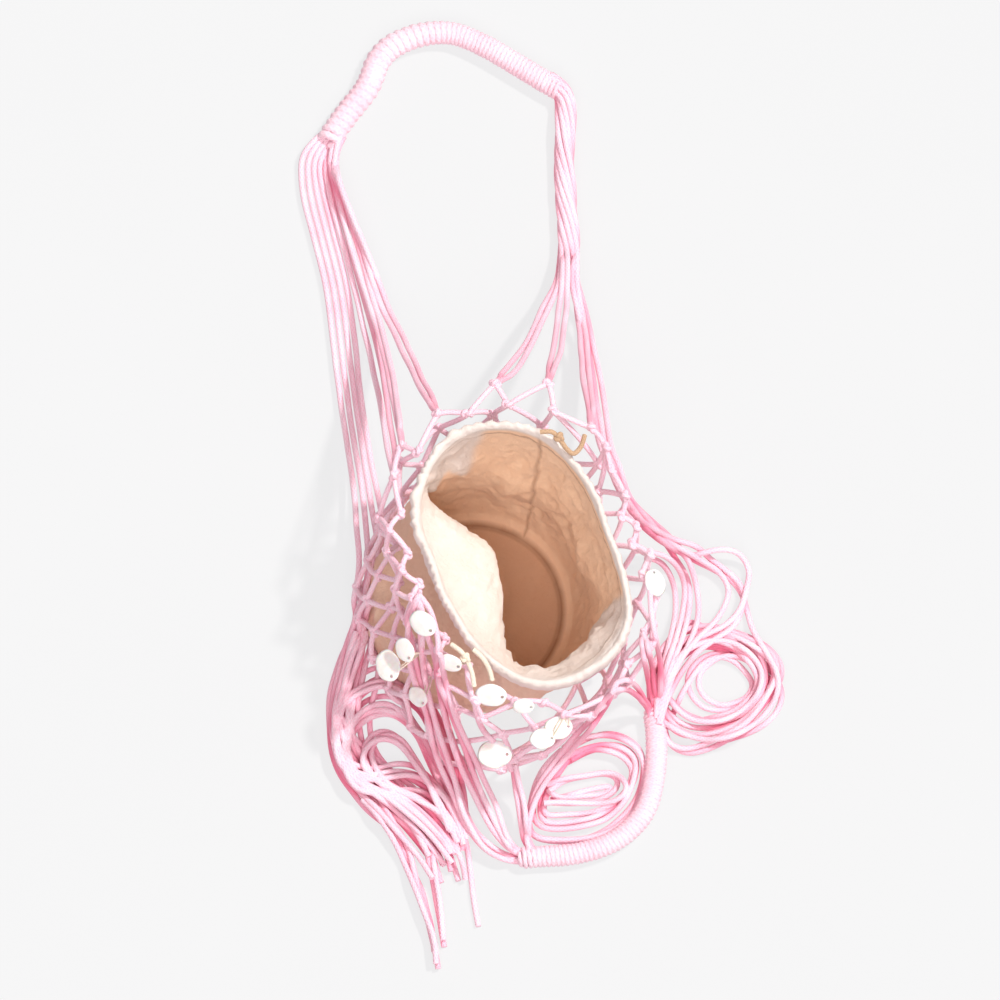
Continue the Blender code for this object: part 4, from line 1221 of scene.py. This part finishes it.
HANDLE_CORDS = (
    # piece, heights, knot at the end, route
    ("back_left_knotted", LEFT_LOW_RISE, (8, 0), (
        (338, 131, 7), (332, 141, 7), (327, 154, 6), (325, 172), (331, 205), (341, 240), (354, 290),
        (368, 345), (379, 398), (391, 468),
    )),
    ("back_left_knotted", LEFT_LOW_RISE, (8, 0), (
        (340, 130, 14), (334, 142, 13), (331, 155, 11), (330, 172), (337, 205), (347, 240), (361, 290),
        (375, 345), (386, 398), (397, 468),
    )),
    ("back_left_knotted", LEFT_MID_RISE, (7, 0), (
        (341, 134, 10), (335, 145, 9), (331, 157, 7), (332, 172), (341, 208), (351, 245), (366, 295),
        (381, 345), (394, 405),
    )),
    ("back_left_knotted", LEFT_MID_RISE, (7, 0), (
        (342, 132, 16), (337, 146, 15), (335, 158, 12), (335, 172), (346, 208), (357, 245), (372, 295),
        (387, 345), (399, 410),
    )),
    ("back_left_knotted", LEFT_HIGH_RISE, (6, 0), (
        (343, 135, 7), (337, 148, 7), (334, 160, 6), (336, 176), (348, 215), (361, 250), (377, 297),
        (398, 346), (424, 396),
    )),
    ("back_left_knotted", LEFT_HIGH_RISE, (6, 0), (
        (344, 137, 12), (338, 149, 11), (336, 160, 9), (338, 176), (353, 215), (369, 255), (386, 300),
        (405, 342), (430, 394),
    )),
    ("back_right_knotted", RIGHT_HIGH_RISE, (5, 0), ((556, 280), (543, 306), (524, 345), (506, 370))),
    ("back_right_knotted", RIGHT_HIGH_RISE, (5, 0), ((559, 282), (548, 308), (530, 345), (511, 373))),
    ("back_right_knotted", RIGHT_HIGH_RISE, (4, 0), ((562, 284), (559, 310), (554, 345), (549, 368))),
    ("back_right_knotted", RIGHT_HIGH_RISE, (4, 0), ((566, 284), (565, 310), (561, 345), (554, 368))),
    ("back_right_knotted", RIGHT_LOW_RISE, (3, 0), ((573, 284), (577, 315), (582, 355), (587, 400))),
    ("back_right_knotted", RIGHT_LOW_RISE, (3, 0), ((577, 284), (582, 315), (588, 355), (593, 402))),
    ("back_right_outer", BACK_FAR_RISE, None, (
        (578, 284), (587, 320), (599, 380), (609, 440), (620, 467), (632, 500), (655, 525), (668, 537),
        (690, 559), (710, 570), (730, 582), (741, 596), (746, 612), (752, 632), (764, 652), (776, 676),
        (774, 698), (758, 720), (732, 736), (704, 740), (680, 732), (664, 722),
    )),
    ("back_right_outer", BACK_FAR_RISE, None, (
        (576, 284), (583, 320), (594, 380), (604, 440), (617, 470), (627, 495), (645, 515), (660, 535),
        (674, 556), (686, 574), (690, 594), (688, 618), (681, 644), (671, 668), (663, 692), (658, 718),
    )),
    ("back_right_outer", BACK_FAR_RISE, None, (
        (572, 284), (579, 320), (589, 380), (599, 440), (613, 474), (624, 500), (640, 520), (667, 537),
        (695, 547), (710, 560), (723, 570), (736, 581), (743, 594), (741, 612), (732, 628), (714, 640),
        (694, 654), (678, 676), (667, 700), (660, 724),
    )),
    ("fringe_right_loops", BACK_FAR_RISE, None, (
        (611, 470), (620, 488, 92), (634, 510), (652, 530), (672, 546), (690, 555), (705, 552),
        (720, 549), (735, 551), (745, 560), (750, 573), (747, 590), (742, 608), (728, 624), (708, 634),
        (690, 646), (674, 668), (664, 694), (659, 722),
    )),
    ("fringe_right_loops", BACK_FAR_RISE, None, (
        (611, 470), (620, 490, 92), (638, 520), (660, 540), (684, 556), (694, 577), (699, 600),
        (698, 622), (688, 646), (674, 672), (665, 698), (659, 722),
    )),
    ("fringe_right_loops", RIGHT_SIDE_RISE, None, (
        (645, 558), (658, 561), (668, 571), (675, 590), (675, 614), (670, 640), (663, 668), (658, 694),
        (656, 718),
    )),
    ("fringe_right_loops", RIGHT_SIDE_RISE, None, (
        (648, 552), (664, 556), (678, 568), (685, 588), (683, 612), (676, 638), (667, 664), (660, 692),
        (656, 718),
    )),
    ("fringe_right_loops", BACK_FAR_RISE, None, (
        (611, 470), (622, 492, 92), (644, 526), (668, 543), (684, 552), (700, 562), (716, 572),
        (726, 588), (724, 604), (714, 622), (698, 638), (682, 658), (670, 682), (662, 706), (658, 724),
    )),
    ("front_left_cords", FRONT_LEFT_RISE, (11, 0), (
        (544, 858, 7), (530, 858, 7), (512, 857, 6), (492, 847), (473, 828), (458, 790), (442, 751),
        (433, 713), (421, 679), (412, 646), (407, 618),
    )),
    ("front_left_cords", FRONT_LEFT_RISE, (11, 0), (
        (544, 854, 13), (530, 853, 12), (511, 846, 11), (492, 820), (473, 786), (458, 751), (444, 713),
        (437, 679), (433, 656), (427, 637), (423, 616),
    )),
    ("front_left_cords", FRONT_LEFT_RISE, (11, 0), (
        (545, 857, 12), (530, 856, 12), (513, 851, 11), (496, 834), (482, 810), (465, 775), (451, 736),
        (441, 700), (436, 668), (438, 642), (431, 612),
    )),
    ("front_left_cords", FRONT_LEFT_RISE, (11, 0), (
        (545, 860, 10), (530, 860, 10), (510, 859, 8), (486, 850), (466, 826), (452, 792), (438, 756),
        (428, 716), (416, 682), (409, 650), (410, 620),
    )),
    ("front_left_cords", FRONT_LEFT_RISE, None, (
        (545, 859, 6), (530, 857, 6), (516, 854, 6), (503, 838), (490, 812), (472, 768), (460, 736),
        (449, 706), (441, 684), (437, 666), (440, 654),
    )),
    ("front_left_cords", FRONT_LEFT_RISE, None, (
        (545, 855, 9), (530, 855, 9), (517, 850, 8), (506, 832), (496, 806), (484, 782), (472, 756),
        (461, 730), (452, 706), (445, 680), (441, 656),
    )),
    ("front_left_cords", FRONT_LEFT_RISE, (11, 0), (
        (545, 861, 7), (530, 862, 7), (508, 860, 6), (484, 846), (466, 816), (456, 784), (446, 756),
        (438, 730), (430, 700), (424, 672), (420, 640),
    )),
    ("front_middle_cords", FRONT_MIDDLE_RISE, (16, 0), (
        (546, 856, 14), (534, 854, 14), (527, 842, 13), (527, 820), (532, 800), (541, 780), (559, 755),
        (571, 740), (588, 722), (602, 703),
    )),
    ("front_middle_cords", FRONT_MIDDLE_RISE, (16, 0), (
        (547, 857, 9), (536, 856, 9), (529, 848, 9), (530, 824), (536, 804), (546, 784), (563, 762),
        (577, 744), (592, 728), (605, 708),
    )),
    ("front_middle_cords", FRONT_MIDDLE_RISE, None, (
        (547, 852, 7), (534, 851, 7), (524, 840, 7), (518, 808), (515, 784), (513, 768),
    )),
    ("front_middle_cords", FRONT_MIDDLE_RISE, None, (
        (547, 854, 11), (536, 852, 11), (528, 838, 10), (524, 806), (519, 784), (515, 764),
    )),
    ("front_middle_cords", FRONT_MIDDLE_RISE, None, (
        (511, 770, 44), (508, 762, 50), (496, 744, 62), (482, 728, 74), (476, 712, 84), (475, 702, 90),
    )),
    ("front_right_cords", FRONT_RIGHT_RISE, (16, 0), (
        (652, 728, 8), (650, 710, 14), (643, 696, 42), (632, 684, 84), (618, 682, 126),
    )),
    ("front_right_cords", FRONT_RIGHT_RISE, (16, 0), (
        (653, 728, 13), (648, 709, 19), (638, 698, 50), (626, 690, 92), (616, 690, 130),
    )),
    ("front_right_cords", FRONT_RIGHT_RISE, (18, 0), (
        (655, 728, 14), (654, 708, 14), (651, 690), (647, 668), (643, 650),
    )),
    ("front_right_cords", FRONT_RIGHT_RISE, (18, 0), (
        (657, 728, 8), (657, 708, 9), (655, 690), (652, 668), (648, 650),
    )),
    ("front_right_cords", FRONT_RIGHT_RISE, None, (
        (658, 728, 12), (658, 708, 12), (661, 688), (660, 660), (652, 620), (650, 590),
    )),
)
FLOOR_FAMILIES = (
    # piece, first route, last route, how many from the one to the other
    ("fringe_left", SHADE_OUT, SHADE_IN, 6),
    ("fringe_left", HANK_A, HANK_D, 4),
    ("fringe_left", CROSS_OUT, CROSS_IN, 4),
    ("fringe_left", TAIL_A, TAIL_C, 2),
    ("fringe_left", TAIL_C, TAIL_B, 3),
    ("fringe_left", TAIL_D, TAIL_D, 1),
    ("fringe_front_loops", FRONT_LOOP_OUT, FRONT_LOOP_IN, 6),
    ("fringe_front_loops", SMALL_LOOP_OUT, SMALL_LOOP_IN, 3),
    ("fringe_right_coil", RING_OUT, RING_IN, 2),
    ("fringe_right_coil", RIGHT_COIL_OUT, RIGHT_COIL_IN, 2),
    ("fringe_right_coil", COIL_OUT, COIL_IN, 7),
)
OVER_FAMILIES = (
    ("fringe_left", ARCH_OUT, ARCH_IN, 5),
    ("fringe_left", SWEEP_OUT, SWEEP_IN, 4),
    ("fringe_left", LOOP_OUT, LOOP_IN, 3),
)
# How far a free cord strays in metres, by how many points the fringe's ends vary, how many cords
# the bundle at the left has, and from which point on they lie loose
FREE_STRAY = 0.0056
ENDS_VARY = 9
BAND_CORDS = 4
BAND_FREE = 60
BAND_LOOSE = 125


def at_profile(profile, v):
    """The height for a picture row, from a profile of (row, height in millimetres)."""
    if v <= profile[0][0]:
        return profile[0][1]
    for (v0, h0), (v1, h1) in zip(profile, profile[1:]):
        if v <= v1:
            return h0 + (h1 - h0) * (v - v0) / max(v1 - v0, 1)
    return profile[-1][1]


def between(first, last, share, spacing):
    """A route a share of the way from one route to another."""
    count = max(4, round(max(route_length(first), route_length(last)) / spacing))
    ones, others = (smooth_route(route, None, count) for route in (first, last))
    return [a.lerp(b, share) for a, b in zip(ones, others)]


class Pile:
    """Cords laid one after another, each resting on those under it."""

    def __init__(self, width):
        self.width = width
        self.cells = {}

    def near(self, point):
        at = (math.floor(point.x / self.width), math.floor(point.y / self.width))
        for i in (-1, 0, 1):
            for j in (-1, 0, 1):
                yield from self.cells.get((at[0] + i, at[1] + j), ())

    def rest(self, point):
        """How high a cord's middle must lie to clear the cords under it there."""
        need = point.z
        for other in self.near(point):
            flat = (Vector((point.x, point.y, 0)) - Vector((other.x, other.y, 0))).length
            if flat < self.width and abs(other.z - need) < self.width * 1.6:
                need = max(need, other.z + math.sqrt(self.width**2 - flat**2))
        return need

    def cover_shade(self, route):
        """For each point of a cord, its painted shade: 0 where it lies in the open to 1 where others cover
        it.
        """
        covers = []
        for point in route:
            over = 0.0
            for other in self.near(point):
                flat = math.hypot(point.x - other.x, point.y - other.y)
                if other.z - point.z > self.width * 0.55 and flat < self.width * 1.2:
                    over += 1 - 0.5 * flat / self.width
            covers.append(min(over / FULL_COVER_SHADE, 1.0))
        for _ in range(3):
            around = [covers[max(i - 1, 0) : i + 2] for i in range(len(covers))]
            covers = [sum(near) / len(near) for near in around]
        return covers

    def add(self, points):
        for point in points:
            at = (math.floor(point.x / self.width), math.floor(point.y / self.width))
            self.cells.setdefault(at, []).append(point)


def lifted(point, height):
    """The same spot of the picture, at another height."""
    return Vector((point.x, point.y - (height - point.z) / math.tan(LOOK_DOWN), height))


# How far apart a cord's points are, how often it is drawn clear of the bag, the highest that a cord
# is raised over others, and how much cover gives a cord its full painted shade
STEP = 0.0035
CLEAR_PASSES = 3
PILE_TOP = 0.016
FULL_COVER_SHADE = 5.0


def laid_cord(pile, route, held, bodies):
    """Lays one cord on the pile: clear of the bag, over what lies under it, and no lower.

    held is how many points at its start and its end stay where they are."""
    points = [point.copy() for point in route]
    first, last = held[0], len(points) - 1 - held[1]
    for _ in range(CLEAR_PASSES):
        for point in points[first : last + 1]:
            for body in bodies:
                near, normal, _, away = cad_tree(body).find_nearest(point)
                inside = (point - near).dot(normal)
                room = CORD / 2 + 0.0004
                if away < 0.012 and inside < room:
                    point += normal * (room - inside)
            point.z = max(point.z, CORD / 2)
    rises = [max(0.0, pile.rest(point) - point.z) for point in points]
    rises = [rise if first <= i <= last else 0.0 for i, rise in enumerate(rises)]
    rises = [min(rise, PILE_TOP) for rise in rises]
    spread = []
    for i in range(len(points)):
        around = range(max(i - 6, 0), min(i + 7, len(points)))
        spread.append(max(rises[j] * (1 - abs(j - i) / 7) for j in around))
    laid = []
    for i, point in enumerate(points):
        near = spread[max(i - 1, 0) : i + 2]
        rise = max(sum(near) / len(near), rises[i]) if first <= i <= last else 0.0
        laid.append(lifted(point, point.z + rise))
    for _ in range(2):
        laid = [laid[0]] + [(a + b * 2 + c) / 4 for a, b, c in zip(laid, laid[1:], laid[2:])] + [laid[-1]]
    pile.add(laid)
    return laid


# The twisted bundle at the back grip's right end: its middle, how far its cords lie from it, and
# the order in which they leave it, as angles round it
TWIST_ROUTE = (
    (548, 80, 11), (558, 87, 11), (565, 98, 11), (566, 120, 10), (564, 150, 10), (565, 185, 10),
    (568, 220, 10), (569, 252, 10),
)
TWIST_REACH = 0.0064
TWIST_TURNS = 0.85
TWIST_ANGLES = (180, 140, 220, 105, 255, 60, 300, 20, 340)


def twisted(number):
    """The start of one cord of the twisted bundle, down to where it leaves the others."""
    spine = smooth_route([spot(*place) for place in TWIST_ROUTE], STEP)
    turns = path_turns(spine)
    points = []
    for k, (point, turn) in enumerate(zip(spine, turns)):
        share = k / (len(spine) - 1)
        ahead = turn @ Vector((0, 0, 1))
        side = Vector((ahead.y, -ahead.x, 0)).normalized() * -1
        rise = ahead.cross(side) * -1
        if rise.z < 0:
            rise = -rise
        angle = math.radians(TWIST_ANGLES[number]) + 2 * math.pi * TWIST_TURNS * (1 - share)
        reach = TWIST_REACH * (1 + 0.12 * math.sin(7 * share + number))
        points.append(point + side * (math.cos(angle) * reach) + rise * (math.sin(angle) * reach))
    return points


def over_in_view(route, bodies):
    """Draws a cord up the line of sight till the bodies lie under it, not over it."""
    look = Vector((0, math.cos(LOOK_DOWN), -math.sin(LOOK_DOWN)))
    rises = []
    for point in route:
        rise = 0.0
        for body in bodies:
            for side in (-0.004, -0.002, 0, 0.002, 0.004):
                start = point - look * 0.4 + Vector((side, 0, 0))
                hit, _, _, far = cad_tree(body).ray_cast(start, look)
                if hit is not None:
                    rise = max(rise, (0.4 - far + CORD) * math.sin(LOOK_DOWN))
        rises.append(rise)
    kept = []
    for i, point in enumerate(route):
        around = range(max(i - 4, 0), min(i + 5, len(route)))
        rise = max(rises[j] * (1 - abs(j - i) / 5) for j in around)
        kept.append(lifted(point, point.z + rise))
    return kept


def stray(route, amount):
    """Lets a free cord wander a little from its route, more slowly than it is long."""
    phase = random.uniform(0, 50)
    for i, point in enumerate(route):
        for wave, share in ((9, 1.0), (26, 0.4)):
            place = Vector((i * STEP * wave, phase, 0))
            point.x += amount * share * noise.noise(place)
            point.y += amount * share * noise.noise(place + Vector((0, 0, 9)))


def lay_family(pile, made, name, first, last, count):
    """Lays a family of free cords on the floor, from its first route to its last, in no set order."""
    firsts = [spot(u, v) for u, v in first]
    lasts = [spot(u, v) for u, v in last]
    order = list(range(count))
    random.shuffle(order)
    for number in order:
        share = (number + random.uniform(-0.55, 0.55)) / max(count - 1, 1)
        route = between(firsts, lasts, share, STEP)
        stray(route, FREE_STRAY)
        if name == "fringe_left" and count > 3:
            route = route[: len(route) - random.randrange(ENDS_VARY)]
        bodies = ("canvas_bag", "net", "front_grip")
        made.setdefault(name, []).append(laid_cord(pile, route, (0, 0), bodies))


def make_cords():
    """Lays every cord of the handles and the fringe, lowest first."""
    pile = Pile(CORD * 0.96)
    made = {}
    for family in FLOOR_FAMILIES:
        lay_family(pile, made, *family)
    for number in range(BAND_CORDS):
        firsts, lasts = (
            [spot(u, v, at_profile(BACK_OUTER_RISE, v)) for u, v in pixels]
            for pixels in (UPPER_A + HANK_A, UPPER_D + HANK_B)
        )
        route = between(firsts, lasts, number / (BAND_CORDS - 1), STEP)
        stray(route[BAND_FREE:], FREE_STRAY * 0.5)
        stray(route[BAND_LOOSE:], FREE_STRAY * 1.1)
        route = route[: len(route) - random.randrange(ENDS_VARY)]
        made.setdefault("back_left_outer", []).append(laid_cord(pile, route, (12, 0), ("cloth",)))
    for family in OVER_FAMILIES:
        lay_family(pile, made, *family)
    turn = 0
    for name, profile, knot, pixels in HANDLE_CORDS:
        if knot:
            profile = (*profile, (pixel_of(KNOTS[knot]).y, KNOTS[knot].z / MM))
            profile = tuple(sorted(profile))
        route = [spot(u, v, rest[0] if rest else at_profile(profile, v)) for u, v, *rest in pixels]
        if knot:
            route.append(KNOTS[knot])
        from_grip = 9 if len(pixels[0]) == 3 else 0
        if name.startswith("back_right"):
            start = twisted(turn)
            turn += 1
            from_grip = len(start)
            route = start + smooth_route([start[-2], start[-1], *route], STEP)[3:]
        else:
            route = smooth_route(route, STEP)
        if name.startswith("front"):
            route = over_in_view(route, ("cloth", "net"))
        stray(route[from_grip : len(route) - 8], FREE_STRAY * 0.4)
        made.setdefault(name, []).append(laid_cord(pile, route, (from_grip, 10 if knot else 0), ("cloth",)))
    owners = {
        "back_left_outer": ("back_left_bundle",),
        "back_left_knotted": ("back_left_pair_1", "back_left_pair_2", "back_left_pair_3"),
        "back_right_knotted": ("back_right_pair_1", "back_right_pair_2", "back_right_pair_3"),
        "back_right_outer": ("back_right_bundle",),
    }
    for name, routes in made.items():
        # Each cord takes painted shade where others cover it
        mesh = cord_mesh(routes, CORD, cover_shade=[pile.cover_shade(route) for route in routes])
        new_piece(name + "_strands", mesh, PINK, owners.get(name, (name,)))


def make_drawstring():
    """The drawstring's free ends, as declared cords with their knots on them."""
    for name, rows in DRAWSTRING_ENDS.items():
        back = "back" in name
        # The back end is given the deeper cream as painted shade
        finish = CREAM_CORD_IN_SHADE if back else CREAM
        path = smooth_route([seen(*row) for row in rows], 0.002)
        piece = new_piece(name + "_cord", cord_mesh([path], DRAWSTRING), finish, (name,))
        knot_name = name.replace("_end_1", "_knot").replace("_end", "_knot")
        if knot_name in nodes:
            low, high = (Vector(corner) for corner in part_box(knot_name))
            turn = Matrix.Rotation(0.6, 3, "X") @ Matrix.Rotation(0.8, 3, "Z")
            tight = [trefoil((low + high) / 2, turn, 0.00105)]
            mesh = cord_mesh(tight, DRAWSTRING * 0.9, closed=True)
            new_piece(knot_name + "_tied", mesh, finish, (knot_name,))


FLOOR_LOW = (0.120, 0.120, 0.120)
FLOOR_HIGH = (0.125, 0.125, 0.125)
FLOOR_GLOW = (0.735, 0.745, 0.75)
LIGHTS = (
    # name, strength, spread in degrees, the way its light travels, colour
    ("sun", 2.6, 4.0, (-0.46, -0.24, -0.86), (1.0, 0.98, 0.95)),
    ("side", 1.5, 45.0, (-0.04, 0.50, -0.86), (1.0, 0.95, 0.95)),
)
FILL = 0.46
FILL_TINT = (1.0, 0.86, 0.87, 1)


def set_stage():
    """A plain pale floor under a soft fill, a clear sun from the upper right and one from the front."""
    form = bmesh.new()
    bmesh.ops.create_grid(form, x_segments=1, y_segments=1, size=3)
    mesh = bpy.data.meshes.new("floor")
    form.to_mesh(mesh)
    form.free()
    floor = bpy.data.objects.new("floor", mesh)
    bpy.context.scene.collection.objects.link(floor)
    paper, tree, shader = shader_material("pale_floor", 0.9)
    tint = speckle(tree, 3, 2.0)
    tree.links.new(ramp(tree, tint, ((0.3, FLOOR_LOW), (0.7, FLOOR_HIGH))), shader.inputs["Base Color"])
    shader.inputs["Emission Color"].default_value = (*FLOOR_GLOW, 1)
    shader.inputs["Emission Strength"].default_value = 1.0
    shader.inputs["Specular IOR Level"].default_value = 0.0
    mesh.materials.append(paper)
    for name, strength, spread, travel, colour in LIGHTS:
        sun = bpy.data.lights.new(name, "SUN")
        sun.energy = strength
        sun.angle = math.radians(spread)
        sun.color = colour
        lamp = bpy.data.objects.new(name, sun)
        bpy.context.scene.collection.objects.link(lamp)
        lamp.rotation_mode = "QUATERNION"
        lamp.rotation_quaternion = Vector(travel).to_track_quat("-Z", "Y")
    world = bpy.data.worlds.new("studio")
    world.use_nodes = True
    world.node_tree.nodes["Background"].inputs["Color"].default_value = FILL_TINT
    world.node_tree.nodes["Background"].inputs["Strength"].default_value = FILL
    bpy.context.scene.world = world
    bpy.context.scene.view_settings.view_transform = "Standard"


set_camera()
make_drawstring()
make_canvas()
make_cords()
wound_grip(
    "back_grip", [seen(*row) for row in BACK_GRIP_ROUTE],
    lambda share: BACK_GRIP_THICKNESS * (1.0 - 0.10 * smooth_step(share * 4 - 1.6)),
    lambda share: BACK_WIND - BACK_WIND_TIGHTER * smooth_step(share * 6 - 2.8),
)
wound_grip(
    "front_grip", [seen(*row) for row in FRONT_GRIP_ROUTE],
    lambda share: FRONT_GRIP_THICKNESS, lambda share: FRONT_WIND,
)
make_net()
make_discs()
set_stage()
